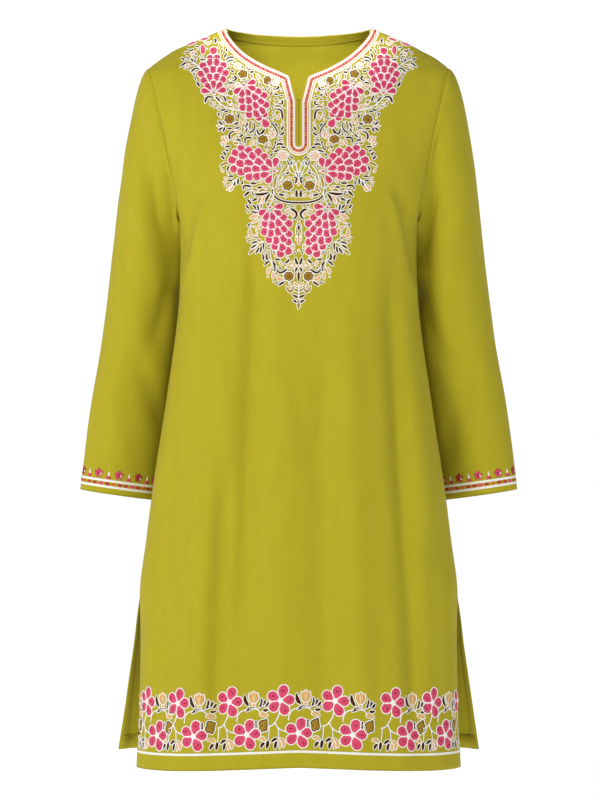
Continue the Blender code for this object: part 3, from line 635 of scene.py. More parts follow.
def run_of(path):
    """Distance run along a path, at each of its points."""
    return lengths(path[:, None], 0)[:, 0]


def between(path, run, at):
    """Points of a path where its run, or another rising measure of it, has the wanted values."""
    return np.stack([np.interp(at, run, path[:, k]) for k in range(path.shape[1])], axis=-1)


def evenly(path, count):
    """Count points, evenly spaced along a path."""
    run = run_of(path)
    return between(path, run, np.linspace(0.0, run[-1], count))


def ripple(a, b, seed):
    """Small uneven waves over the cloth, from two distances along it."""
    turn = np.random.default_rng(seed)
    total = np.zeros(np.broadcast(a, b).shape)
    for wave in RIPPLES:
        for k in range(3):
            lean = wave.lean + turn.uniform(-0.5, 0.5) + k * 2.1
            phase = turn.uniform(0, 2 * math.pi)
            length = wave.length * turn.uniform(0.8, 1.25)
            along = a * math.cos(lean) + b * math.sin(lean) * 0.3
            total = total + wave.height / 1.6 * np.sin(2 * math.pi * along / length + phase)
    return total


# ---- the body's cloth
ARMHOLE_X = curve_of(ARMHOLE, "z", "x")
FRONT_NECK_X = curve_of(FRONT_NECK, "row", "x")
FRONT_NECK_Z = curve_of(FRONT_NECK, "row", "z")


def inside_armhole(x, z):
    """Distance in from the armhole, which grows quickly below the underarm."""
    below = np.clip(UNDERARM_Z - z, 0.0, None)
    return ARMHOLE_X(z) + 3 * below - np.abs(x)


class Panel:
    """The front or the back: points of the folded cloth, by angle and height or by x and z."""

    def __init__(self, name, sign, squareness, folds, seed, hem, low):
        self.name = name
        self.sign = sign
        self.squareness = squareness
        self.folds = folds
        self.seed = seed
        self.hem = hem
        self.hem_form_z = low + HEM_FORM_UP
        self.low = low
        self.strength = 1.0
        self.half = curve_of(BODY, "z", f"{name}_half")
        self.depth = curve_of(BODY, "z", f"{name}_depth")
        self.edge = curve_of(BODY, "z", f"{name}_edge")

    def form(self, angle, z):
        """The unfolded form: angle 0 is the middle of the panel and pi / 2 its side line."""
        exponent = 2 / self.squareness
        sine, cosine = np.sin(angle), np.cos(angle)
        x = self.half(z) * np.copysign(np.abs(sine) ** exponent, sine)
        y = self.depth(z) * np.copysign(np.abs(cosine) ** exponent, cosine)
        return points_of(x, self.sign * y, z)

    def outward(self, angle, z):
        turn, reach = 0.012, 0.0015
        across = self.form(angle + turn, z) - self.form(angle - turn, z)
        down = self.form(angle, z - reach) - self.form(angle, z + reach)
        return unit(np.cross(across, down) * self.sign)

    def edge_angle(self, z):
        return np.arccos((self.edge(z) / self.depth(z)) ** (self.squareness / 2))

    def angle_of(self, x, z):
        share = np.minimum(np.abs(x) / self.half(z), 1.0)
        angle = np.minimum(np.arcsin(share ** (self.squareness / 2)), self.edge_angle(z))
        return np.copysign(angle, x)

    def drape(self, angle, x, z):
        """How far the cloth stands out of the form: folds and ripples, none of it at a seam."""
        out = ripple(x * 1.15, z, self.seed)
        for fold in self.folds:
            run = (fold.z1 - z) / (fold.z1 - fold.z3)
            middle = (fold.z1 - fold.z2) / (fold.z1 - fold.z3)
            bend = (fold.x2 - fold.x1 - (fold.x3 - fold.x1) * middle) / (middle * (middle - 1))
            line = fold.x1 + (fold.x3 - fold.x1) * run + bend * run * (run - 1)
            aside = (x - line) * np.where((x - line) * line > 0, fold.sharp, 1.0)
            fades = soften(run / 0.25) * soften((1.12 - run) / 0.30)
            out = out + fold.out * self.strength * fades * np.exp(-((aside / fold.width) ** 2))
        clear = inside_armhole(x, z) / ARMHOLE_HOLD
        turn_left = self.edge_angle(z) - np.abs(angle)
        open_edge = soften((VENT_TOP_Z - z) / 0.05)
        held = soften(clear) * soften(turn_left / SIDE_HOLD + 0.6 * open_edge)
        return out * held

    def seam_dip(self, angle, x, z):
        """The small valley in which the cloth meets its neighbour at a seam."""
        aside = np.clip(inside_armhole(x, z), 0.0, None)
        turn_left = np.clip(self.edge_angle(z) - np.abs(angle), 0.0, None) * SIDE_RADIUS
        near = np.minimum(aside, turn_left + 0.01 * soften((VENT_TOP_Z - z) / 0.004))
        return -SEAM_DIP * np.exp(-((near / SEAM_DIP_REACH) ** 2))

    def cloth(self, angle, z, lift=0.0):
        base = self.form(angle, z)
        out = self.drape(angle, base[..., 0], z) + self.seam_dip(angle, base[..., 0], z) + lift
        return base + self.outward(angle, z) * out[..., None]

    def at(self, x, z, lift=0.0):
        """The cloth at an x and a z."""
        return self.cloth(self.angle_of(x, z), z, lift)

    def across_hem(self):
        """Angles across the panel near its hem, and each one's distance from the centre."""
        angle = np.linspace(-1.0, 1.0, 401) * self.edge_angle(self.hem_form_z)
        reach = run_of(self.form(angle, self.hem_form_z))
        return angle, reach - reach[-1] / 2

    def half_hem(self):
        """Distance from the centre to the side edge, along the hem."""
        return self.across_hem()[1][-1]

    def along_hem(self, along, up, lift):
        """The cloth by a distance along the hem, seen from outside, and a height above it."""
        angle, reach = self.across_hem()
        share = np.interp(-self.sign * along, reach, angle) / self.edge_angle(self.hem_form_z)
        z = self.hem(np.abs(share)) + up
        return self.cloth(share * self.edge_angle(z), z, lift)


def front_hem(share):
    """Height of the front hem from the centre (0) to the side edge (1)."""
    return FRONT_HEM_Z + FRONT_HEM_RISE * (1 - share) - FRONT_HEM_WAVE * np.sin(math.pi * share)


def back_hem(share):
    """Height of the back hem, which is level."""
    return np.full_like(share, BACK_HEM_Z)


FRONT = Panel("front", -1, FRONT_SQUARENESS, FRONT_FOLDS, 11, front_hem, FRONT_HEM_Z)
BACK = Panel("back", 1, BACK_SQUARENESS, BACK_FOLDS, 23, back_hem, BACK_HEM_Z)


def armhole_line(panel, count):
    """Points along the armhole, from the shoulder tip to the underarm."""
    share = (1 - np.cos(np.linspace(0.0, math.pi, 90))) / 2
    z = SHOULDER_TIP_Z + (UNDERARM_Z - SHOULDER_TIP_Z) * share
    return evenly(panel.form(panel.angle_of(ARMHOLE_X(z), z), z), count)


def column_shares(count):
    """Shares of a row's length, closer together beside the neck's edge and the seam."""
    plain = np.linspace(0.016, 0.955, count - 5)
    return np.concatenate([[0.0, 0.002], plain, [0.972, 0.985, 0.994, 1.0]])


def hem_turns(sizes):
    """Rows of a turned hem: how far up each lies, and how far inside the cloth."""
    layer = LAYER * sizes.cloth
    return ((FOLD_BEND, layer * BEND_SHARE), (0.4 * sizes.hem_turning, layer),
            (sizes.hem_turning, layer))


class BodyGrid:
    """Angles, heights and lifts of half a panel: its cloth, its allowances and its turnings."""

    def __init__(self, panel, neck_x, neck_z, sizes):
        shares = column_shares(sizes.columns)
        rows = np.linspace(0.0, ARMHOLE_ROWS, ARMHOLE_ROWS * ROWS_PER_ROW + 1)
        start = panel.angle_of(neck_x(rows), neck_z(rows))[:, None]
        ends = armhole_line(panel, len(rows))
        end = panel.angle_of(ends[:, 0], ends[:, 2])[:, None]
        angle = start + (end - start) * shares
        z = neck_z(rows)[:, None] + (ends[:, 2] - neck_z(rows))[:, None] * shares
        ridge = panel.edge_angle(z[0])
        angle = angle + (ridge - angle[0]) * np.clip(1 - rows, 0.0, 1.0)[:, None]
        side_z = np.linspace(UNDERARM_Z, VENT_TOP_Z, SIDE_ROWS + 1)[1:, None] + 0 * shares
        fall = np.linspace(0.0, 1.0, VENT_ROWS + 1)[1:, None]
        low_z = np.concatenate([side_z, VENT_TOP_Z + (panel.hem(shares) - VENT_TOP_Z) * fall])
        self.angle = np.concatenate([angle, panel.edge_angle(low_z) * shares])
        self.z = np.concatenate([z, low_z])
        self.lift = np.zeros_like(self.z)
        self.turn_sides(panel, len(rows) + SIDE_ROWS, sizes)
        self.turn_hem(sizes)
        self.turn_shoulder(sizes)

    def turn_sides(self, panel, vent, sizes):
        """Adds columns: an allowance inside the seam, and cloth turned back along the vent."""
        layer = LAYER * sizes.cloth
        columns = ((SEAM_BEND, FOLD_BEND, layer * BEND_SHARE),
                   (sizes.allowance, sizes.vent_turning, layer))
        edge, z = self.angle[:, -1], self.z[:, -1]
        depth = panel.depth(z)
        for inside, back, under in columns:
            lift = np.full_like(z, -inside)
            lift[vent:] = -under
            angle = edge.copy()
            angle[vent:] -= back / depth[vent:]
            self.angle = np.column_stack([self.angle, angle])
            self.z = np.column_stack([self.z, z])
            self.lift = np.column_stack([self.lift, lift])

    def turn_hem(self, sizes):
        """Adds rows: cloth turned up inside the hem."""
        angle, z, lift = self.angle[-1], self.z[-1], self.lift[-1]
        for up, under in hem_turns(sizes):
            self.angle = np.vstack([self.angle, angle])
            self.z = np.vstack([self.z, z + up])
            self.lift = np.vstack([self.lift, lift - under])

    def turn_shoulder(self, sizes):
        """Adds rows on top: the shoulder seam's allowance."""
        for inside in (SEAM_BEND, sizes.allowance):
            self.angle = np.vstack([self.angle[:1], self.angle])
            self.z = np.vstack([self.z[:1], self.z])
            self.lift = np.vstack([np.full_like(self.lift[:1], -inside), self.lift])


# ---- meshes
def quads(rows, columns, closed=False):
    """Faces of a grid of points, numbered row by row."""
    across = columns if closed else columns - 1
    r, c = np.meshgrid(np.arange(rows - 1), np.arange(across), indexing="ij")
    after = (c + 1) % columns
    return np.stack(
        [r * columns + c, (r + 1) * columns + c, (r + 1) * columns + after, r * columns + after],
        axis=-1).reshape(-1, 4)


def add_mesh(name, points, faces, materials, uv, material_of_face=None):
    """A smooth-shaded mesh object from arrays, with its uv given point by point."""
    mesh = bpy.data.meshes.new(name)
    mesh.from_pydata(points.tolist(), [], [list(face) for face in faces])
    for finish in materials:
        mesh.materials.append(finish)
    layer = mesh.uv_layers.new(name="thread")
    corner = np.empty(len(mesh.loops), dtype=np.int32)
    mesh.loops.foreach_get("vertex_index", corner)
    layer.data.foreach_set("uv", uv[corner].astype(np.float32).ravel())
    if material_of_face is not None:
        mesh.polygons.foreach_set("material_index", np.asarray(material_of_face, np.int32))
    mesh.shade_smooth()
    mesh.update()
    made = bpy.data.objects.new(name, mesh)
    bpy.context.scene.collection.objects.link(made)
    return made


def weld(made):
    """Joins points that lie together."""
    shape = bmesh.new()
    shape.from_mesh(made.data)
    bmesh.ops.remove_doubles(shape, verts=shape.verts, dist=0.00002)
    shape.to_mesh(made.data)
    shape.free()


def thicken(made, thickness):
    """Gives a sheet its thickness, half of it to each side."""
    shell = made.modifiers.new("cloth", "SOLIDIFY")
    shell.thickness = thickness
    shell.offset = 0.0
    shell.use_even_offset = False
    shell.use_quality_normals = True


def build_panel(panel, neck_x, neck_z, sizes):
    """A whole panel: both halves welded along the centre, with the cloth's thickness."""
    panel.strength = sizes.fold_strength
    grid = BodyGrid(panel, neck_x, neck_z, sizes)
    down_count, across_count = grid.z.shape
    points, faces, uvs = [], [], []
    for side in (1, -1):
        cloth = panel.cloth(side * grid.angle, grid.z, grid.lift)
        across = lengths(cloth, 1) + np.abs(cloth[:, :1, 0])
        down = lengths(cloth, 0)
        face = quads(down_count, across_count) + len(points) * grid.z.size
        faces.append(face if side > 0 else face[:, ::-1])
        points.append(cloth.reshape(-1, 3))
        uvs.append(np.stack([side * across, down], axis=-1).reshape(-1, 2))
    made = add_mesh(f"{panel.name}_cloth", np.concatenate(points), np.concatenate(faces),
                    [Finishes.get("green cloth")], np.concatenate(uvs))
    weld(made)
    thicken(made, sizes.cloth)
    return made


def back_neck_x(row):
    """Half the width of the back neck's edge, row by row, and 0 below it."""
    share = np.clip(row / BACK_NECK_ROWS, 0.0, 1.0)
    return BACK.half(0.0) * np.cos(share * math.pi / 2) * (row < BACK_NECK_ROWS)


def back_neck_z(row):
    """Height of the back neck's edge, then of the centre line below it."""
    share = np.clip(row / BACK_NECK_ROWS, 0.0, 1.0)
    below = np.clip((row - BACK_NECK_ROWS) / (ARMHOLE_ROWS - BACK_NECK_ROWS), 0.0, 1.0)
    top = -BACK_NECK_DROP * np.sin(share * math.pi / 2) ** 2
    return top + (UNDERARM_Z + BACK_NECK_DROP) * below


# ---- the sleeves' cloth
class Sleeve:
    """A sleeve: points of its folded cloth, by a place down it and an angle round it.

    Down it goes from 0 at the armhole to 1 at the upper arm and 2 at the cuff."""

    def __init__(self, name, side, seed):
        self.name = name
        self.side = side
        self.seed = seed
        self.strength = 1.0
        self.outer = np.array([side, 1.0, 1.0])
        self.lines = {panel: armhole_line(panel, 160) for panel in (FRONT, BACK)}
        self.arm = {key: curve_of(ARM, "z", key) for key in ArmLevel._fields[1:]}
        self.cap = {key: curve_of(CAP, "angle", key) for key in CapStart._fields[1:]}

    def seam(self, angle):
        """The sleeve's edge beside the armhole, and the body's outward direction there."""
        angle = np.mod(angle, 2 * math.pi)
        share = np.where(angle <= math.pi, angle, 2 * math.pi - angle) / math.pi
        place, out = 0.0, 0.0
        for panel, chosen in ((FRONT, angle <= math.pi), (BACK, angle > math.pi)):
            line = self.lines[panel]
            shares = np.linspace(0.0, 1.0, len(line))
            here, before, after = (between(line, shares, np.clip(share + step, 0.0, 1.0))
                                   for step in (0.0, -0.02, 0.02))
            along = after - before
            outward = panel.outward(panel.angle_of(here[..., 0], here[..., 2]), here[..., 2])
            away = unit(np.cross(along, outward))
            away = away * np.where(away[..., :1] + away[..., 2:] > 0, 1, -1)
            under = np.clip(1 - (1 - share) / UNDERARM_SHARE, 0.0, 1.0)[..., None]
            edge = here + away * SEAM_TOP_GAP * (1 - under) + outward * UNDERARM_OFFSET * under
            place = place + edge * chosen[..., None]
            out = out + outward * chosen[..., None]
        return place, out

    def ring(self, z, angle):
        """A section of the arm."""
        arm = {key: curve(z) for key, curve in self.arm.items()}
        turn, tilt = np.radians(arm["turn"]), np.radians(arm["tilt"])
        along = arm["half_wide"] * np.cos(angle)
        aside = -arm["half_deep"] * np.sin(angle)
        out = along * np.cos(turn) + aside * np.sin(turn)
        rear = -along * np.sin(turn) + aside * np.cos(turn)
        return points_of(arm["x"] + out, arm["y"] + rear, z + out * np.tan(tilt))

    def form(self, down, angle):
        """The unfolded form: a smooth bend from the armhole to the arm, then the arm itself."""
        down, angle = np.broadcast_arrays(np.asarray(down, float), np.asarray(angle, float))
        low = self.ring(ARM[0].z + (ARM[-1].z - ARM[0].z) * np.clip(down - 1, 0.0, 1.0), angle)
        edge, _ = self.seam(angle)
        top = self.ring(np.full_like(down, ARM[0].z), angle)
        fall = unit(top - self.ring(np.full_like(down, ARM[0].z - 0.01), angle))
        round_it = np.degrees(np.mod(angle, 2 * math.pi))
        round_it = np.minimum(round_it, 360 - round_it)
        rear = np.where(np.mod(angle, 2 * math.pi) <= math.pi, 1, -1)
        cap = {key: curve(round_it) for key, curve in self.cap.items()}
        first = edge + points_of(cap["out"], rear * cap["inward"], -cap["down"])
        second = top + fall * (ARM_PULL * (edge[..., 2:] - top[..., 2:]))
        b = np.clip(down, 0.0, 1.0)[..., None]
        a = 1 - b
        bend = a ** 3 * edge + 3 * a * a * b * first + 3 * a * b * b * second + b ** 3 * top
        return np.where(down[..., None] <= 1, bend, low)

    def outward(self, down, angle):
        down = np.clip(down, 0.012, 1.99)
        across = self.form(down, angle + 0.02) - self.form(down, angle - 0.02)
        below = self.form(down + 0.01, angle) - self.form(down - 0.01, angle)
        return unit(np.cross(across, below))

    def drape(self, down, angle, z):
        round_it = np.mod(angle, 2 * math.pi)
        out = 0.85 * ripple(ARM_RADIUS * np.sin(round_it) + 0.012, z, self.seed)
        out = out + 0.6 * ripple(ARM_RADIUS * np.cos(round_it) - 0.02, z, self.seed + 5)
        for fold in SLEEVE_FOLDS:
            if fold.side not in (self.name, "both"):
                continue
            a1, a2 = math.radians(fold.angle1), math.radians(fold.angle2)
            middle = (a1 + a2) / 2
            near = np.mod(round_it - middle + math.pi, 2 * math.pi) - math.pi
            run_a, run_b = (a2 - a1) * ARM_RADIUS, fold.z2 - fold.z1
            a, b = (near + middle - a1) * ARM_RADIUS, z - fold.z1
            long = math.hypot(run_a, run_b)
            run = (a * run_a + b * run_b) / long ** 2
            aside = (a * run_b - b * run_a) / long
            fades = soften((run + 0.15) / 0.35) * soften((1.15 - run) / 0.35)
            out = out + fold.out * self.strength * fades * np.exp(-((aside / fold.width) ** 2))
        return out * soften(down / 0.16) * (0.35 + 0.65 * soften((2 - down) / 0.2))

    def cloth(self, down, angle, lift=0.0):
        down, angle = np.broadcast_arrays(np.asarray(down, float), np.asarray(angle, float))
        base = self.form(down, angle)
        out = self.drape(down, angle, base[..., 2]) + lift
        out = out - SLEEVE_DIP * np.exp(-((down / 0.03) ** 2))
        return (base + self.outward(down, angle) * out[..., None]) * self.outer

    def allowance(self, angle, inside):
        """Points of the seam allowance, straight in from the armhole."""
        edge, outward = self.seam(angle)
        return (edge - outward * (inside + SLEEVE_DIP)) * self.outer

    def down_at(self, up):
        """The place down the sleeve that lies a distance above the cuff."""
        return 2 - np.asarray(up) / (ARM[0].z - ARM[-1].z)

    def around(self, along, up, lift):
        """The cloth by a distance round the cuff from the outermost line and a height above it."""
        angle = np.linspace(-math.pi, math.pi, 241)
        run = run_of(self.form(2.0, angle))
        run = run - np.interp(0.0, angle, run)
        at = np.interp(-self.side * along, run, angle)
        return self.cloth(self.down_at(up), at, lift)

    def half_girth(self):
        return float(run_of(self.form(2.0, np.linspace(0, 2 * math.pi, 241)))[-1]) / 2


SLEEVES = (Sleeve("left", 1, 31), Sleeve("right", -1, 47))


def build_sleeve(sleeve, sizes):
    """A whole sleeve, with its allowance at the armhole and its turned cuff."""
    sleeve.strength = sizes.fold_strength
    angle = np.linspace(0.0, 2 * math.pi, ROUND, endpoint=False)
    seam_side = [0.0, 0.012, 0.025, 0.042]
    down = np.concatenate([seam_side, np.linspace(0.062, 1.0, 40), np.linspace(1.0, 2.0, 78)[1:]])
    rings = [sleeve.allowance(angle, inside) for inside in (sizes.allowance, SLEEVE_BEND)]
    rings += list(sleeve.cloth(down[:, None], angle[None, :]))
    rings += [sleeve.cloth(sleeve.down_at(up), angle, -under) for up, under in hem_turns(sizes)]
    grid = np.stack(rings)
    run = lengths(grid, 1)
    last_cell = 0.004         # about the width of the cell that closes the ring
    fold_over = np.minimum(run, run[:, -1:] + last_cell - run)
    uv = np.stack([fold_over, lengths(grid, 0)], axis=-1).reshape(-1, 2)
    faces = quads(*grid.shape[:2], closed=True)
    if sleeve.side < 0:
        faces = faces[:, ::-1]
    made = add_mesh(f"sleeve_{sleeve.name}_cloth", grid.reshape(-1, 3), faces,
                    [Finishes.get("green cloth")], uv)
    thicken(made, sizes.cloth)
    return made


# ---- finishes
class Wire:
    """A node's output in an expression. With numbers or other wires it makes Math nodes."""

    def __init__(self, finish, socket):
        self.finish = finish
        self.socket = socket

    def math(self, operation, *values):
        return self.finish.math(operation, *values)

    def __add__(self, other):
        return self.math("ADD", self, other)

    def __sub__(self, other):
        return self.math("SUBTRACT", self, other)

    def __rsub__(self, other):
        return self.math("SUBTRACT", other, self)

    def __mul__(self, other):
        return self.math("MULTIPLY", self, other)

    __radd__ = __add__
    __rmul__ = __mul__

    def sin(self):
        return self.math("SINE", self)

    def abs(self):
        return self.math("ABSOLUTE", self)

    def clamp(self):
        return self.math("MINIMUM", self.math("MAXIMUM", self, 0.0), 1.0)


class Finish:
    """The shader of a material, or of the room, and the nodes that feed it."""

    def __init__(self, name, room=None):
        self.material = room or bpy.data.materials.new(name)
        self.material.use_nodes = True
        self.tree = self.material.node_tree
        self.shader = self.tree.nodes["Background" if room else "Principled BSDF"]

    def put(self, socket, value):
        if isinstance(value, Wire):
            self.tree.links.new(value.socket, socket)
        elif isinstance(value, (tuple, list)) and len(value) == 3 and socket.type == "RGBA":
            socket.default_value = (*value, 1.0)
        else:
            socket.default_value = value

    def node(self, kind, settings, values, output=0):
        """A node: its settings first, then the values or wires of its sockets."""
        made = self.tree.nodes.new(kind)
        for key, value in settings.items():
            setattr(made, key, value)
        for key, value in values.items():
            self.put(made.inputs[key], value)
        return Wire(self, made.outputs[output])

    def uv(self):
        """The two distances along the thread or the cloth, in metres."""
        whole = self.node("ShaderNodeUVMap", {"uv_map": "thread"}, {})
        return whole, self.part(whole, 0), self.part(whole, 1)

    def part(self, vector, axis):
        return self.node("ShaderNodeSeparateXYZ", {}, {0: vector}, axis)

    def stretched(self, vector, scale):
        return self.node("ShaderNodeVectorMath", {"operation": "MULTIPLY"}, {0: vector, 1: scale})

    def noise(self, vector, scale, detail=2.0):
        return self.node(
            "ShaderNodeTexNoise", {}, {"Vector": vector, "Scale": scale, "Detail": detail})

    def rise(self, value, low, high):
        """From 0 to 1, gently, as a value goes from low to high."""
        return self.node("ShaderNodeMapRange", {"interpolation_type": "SMOOTHSTEP"},
                         {0: value, 1: low, 2: high})

    def math(self, operation, *values):
        return self.node("ShaderNodeMath", {"operation": operation}, dict(enumerate(values)))

    def mix(self, one, two, share):
        """A colour between two others."""
        return self.node("ShaderNodeMix", {"data_type": "RGBA"}, {0: share, 6: one, 7: two}, 2)

    def bump(self, height, distance, strength=1.0):
        return self.node(
            "ShaderNodeBump", {}, {"Height": height, "Distance": distance, "Strength": strength})

    def set(self, **values):
        for key, value in values.items():
            self.put(self.shader.inputs[key.replace("_", " ")], value)


def toned(colour, share):
    """A colour made lighter or darker."""
    return tuple(min(1.0, c * share) for c in colour)


def cloth_finish(name, colour, sizes):
    """Matte plain-weave cotton with a faint heather in its yarn."""
    made = Finish(name)
    whole, u, v = made.uv()
    pitch = math.pi / sizes.weave
    weave = (u * pitch).sin() * (v * pitch).sin()
    heather = made.noise(whole, 1100.0, 3.0)
    patches = made.noise(made.stretched(whole, (60.0, 14.0, 1.0)), 1.0, 3.0)
    slub = made.noise(made.stretched(whole, (900.0, 60.0, 1.0)), 1.0)
    tone = heather * 0.50 + patches * 0.45 + slub * 0.35 + weave * 0.06 - 0.15
    made.set(
        Base_Color=made.mix(toned(colour, 0.84), toned(colour, 1.15), tone.clamp()),
        Roughness=heather * 0.10 + 0.80,
        Normal=made.bump(weave * 0.35 + heather * 0.5 + slub * 0.4, 0.00022, 0.55),
    )
    made.shader.inputs["Sheen Weight"].default_value = 0.03
    made.shader.inputs["Sheen Roughness"].default_value = 0.5
    made.shader.inputs["Specular IOR Level"].default_value = 0.12
    return made.material


# A finish of thread: its colour, made lighter or darker, the same as painted shade between the
# stitches, the distance from stitch to stitch, how far they lean and how much they shine.
Thread = namedtuple("Thread", "colour light shade pitch lean shine", defaults=(0.18,))
THREADS = {
    "green stitching": Thread("cloth", 1.25, 0.85, 0.0009, 0.5),
    # The slit's stitching: the cloth's colour far darkened, as painted shade of the gap between the
    # slit's edges.
    "slit stitching": Thread("cloth", 0.36, 0.22, 0.0009, 0.5),
    "white thread": Thread("white", 1.0, 0.86, 0.0011, 0.6),
    "pink thread": Thread("pink", 1.0, 0.66, 0.0010, 0.0),
    "magenta thread": Thread("magenta", 1.0, 0.5, 0.0008, 0.3, 0.06),
    "red thread": Thread("red", 1.0, 0.6, 0.0009, 0.5),
    "peach thread": Thread("peach", 1.0, 0.74, 0.0010, 0.2),
    "orange thread": Thread("orange", 1.0, 0.6, 0.0009, 0.5),
    "gold thread": Thread("gold", 1.0, 0.72, 0.0010, 0.2),
    "ochre thread": Thread("ochre", 1.0, 0.5, 0.0009, 0.3),
    "brown thread": Thread("brown", 1.0, 0.5, 0.0009, 0.5, 0.04),
}


def thread_finish(name, colour, thread):
    """Embroidery thread: fine lines of stitches across or along it, with painted shade between
    them.
    """
    made = Finish(name)
    whole, u, v = made.uv()
    uneven = made.noise(whole, 420.0)
    line = (u * (2 * math.pi * (1 - thread.lean) / thread.pitch)
            + v * (2 * math.pi * thread.lean / thread.pitch) + uneven * 3.0).sin() * 0.5 + 0.5
    # The colour follows the bump: painted shade in the low grooves between the stitches, with
    # uneven tone from the noise.
    tone = line * 0.55 + uneven * 0.75 - 0.10
    made.set(
        Base_Color=made.mix(toned(colour, thread.shade), toned(colour, thread.light), tone.clamp()),
        Roughness=uneven * 0.16 + 0.50,
        Normal=made.bump(line + uneven * 0.6, 0.00012, 0.7),
    )
    made.shader.inputs["Specular IOR Level"].default_value = thread.shine
    return made.material


class Finishes:
    """The finishes of the garment, each made once."""

    made = {}

    @classmethod
    def get(cls, name):
        if name not in cls.made:
            scene = bpy.context.scene
            if name in THREADS:
                colour = getattr(scene.kurta_colours, THREADS[name].colour)
                cls.made[name] = thread_finish(name, colour, THREADS[name])
            else:
                cls.made[name] = cloth_finish(name, scene.kurta_colours.cloth, scene.kurta_sizes)
        return cls.made[name]


# ---- needlework
SECTION = np.array([[-0.5, 0.0], [-0.36, 0.72], [0.0, 1.0], [0.36, 0.72], [0.5, 0.0]])
BLOCK = np.array([0.0, 0.25, 0.75, 1.0])    # points along a single stitch
SUNK = 0.0002             # depth of the threads' edges in the cloth
BEAD = 0.0024             # from point to point of a long thread
STITCH_SHARE = 0.86       # of a machine stitch's length that shows
PETAL_RISE = 0.00085
ROW_RISE = 0.00016        # of each row of a bunch over the next one out
BUNCH_FOOT = 0.0019       # radius of the round at a bunch's foot
OUTLINE_GAP = 0.00044     # from a stroke's side to the middle of its outline
BRAID_WIDTH = 0.0030
BRAID_RISE = 0.0009
BRAID_LUMP = 0.0022       # length of one lump of the plait


def through(places, count):
    """Points of the bend through three places, given as x, z, x, z, x, z in millimetres."""
    a, b, c = np.reshape(places, (3, 2)) / 1000.0
    t = np.linspace(0.0, 1.0, count)[:, None]
    pull = 2 * b - (a + c) / 2
    return (1 - t) ** 2 * a + 2 * t * (1 - t) * pull + t * t * c


def beside(path, closed=False):
    """The direction to one side of each point of a flat path."""
    if closed:
        ahead = np.roll(path, -1, axis=0) - np.roll(path, 1, axis=0)
    else:
        ahead = np.gradient(path, axis=0)
    return unit(np.stack([-ahead[:, 1], ahead[:, 0]], axis=-1))


def scallops(radius, lobes, depth, turn=0.0, count=30):
    angle = np.linspace(0.0, 2 * math.pi, count, endpoint=False)
    reach = radius * (1 + depth * np.cos(lobes * (angle + turn)))
    return np.stack([-np.sin(angle) * reach, np.cos(angle) * reach], axis=-1)


def circle(radius, count=12):
    return scallops(radius, 1, 0.0, count=count)


def teardrop(length, width, blunt=0.9, count=20):
    """A petal from its pointed foot at 0, 0 up to its round end."""
    angle = np.linspace(0.0, 2 * math.pi, count, endpoint=False)
    aside = np.sin(angle) * np.abs(np.sin(angle / 2)) ** blunt
    aside = aside / np.abs(aside).max() * width / 2
    return np.stack([aside, length * (1 - np.cos(angle)) / 2], axis=-1)


def placed(shape, place, turn):
    """A flat shape turned clockwise by degrees and moved to its place."""
    turn = math.radians(turn)
    x, z = shape[:, 0], shape[:, 1]
    turned = np.stack(
        [x * math.cos(turn) + z * math.sin(turn), z * math.cos(turn) - x * math.sin(turn)],
        axis=-1)
    return turned + np.asarray(place)


def within(edge, places):
    """Whether each flat place lies inside a closed edge."""
    one, two = edge, np.roll(edge, -1, axis=0)
    x, z = places[:, :1], places[:, 1:]
    crossing = (one[:, 1] > z) != (two[:, 1] > z)
    rise = np.where(two[:, 1] == one[:, 1], 1.0, two[:, 1] - one[:, 1])
    at = one[:, 0] + (z - one[:, 1]) / rise * (two[:, 0] - one[:, 0])
    return (crossing & (x < at)).sum(axis=1) % 2 == 1


def spread(corners):
    """Flat places in the middles of faces, at their corners and halfway between."""
    middle = corners.mean(axis=1, keepdims=True)
    return np.concatenate([(middle + (corners - middle) * share).reshape(-1, 2)
                           for share in (0.0, 0.5, 1.0)])


class Field:
    """A grid of cells round an edge, each of which is free or has thread on it."""

    def __init__(self, edge):
        self.low, self.high = edge.min(axis=0), edge.max(axis=0)
        self.taken = np.zeros(np.ceil((self.high - self.low) / CELL).astype(int), bool)

    def cells(self, places):
        cells = np.floor((places - self.low) / CELL).astype(int)
        return tuple(cells[((cells >= 0) & (cells < self.taken.shape)).all(axis=1)].T)

    def free(self, places):
        cells = self.cells(places)
        return len(cells[0]) == len(places) and not self.taken[cells].any()

    def take(self, places):
        self.taken[self.cells(places)] = True


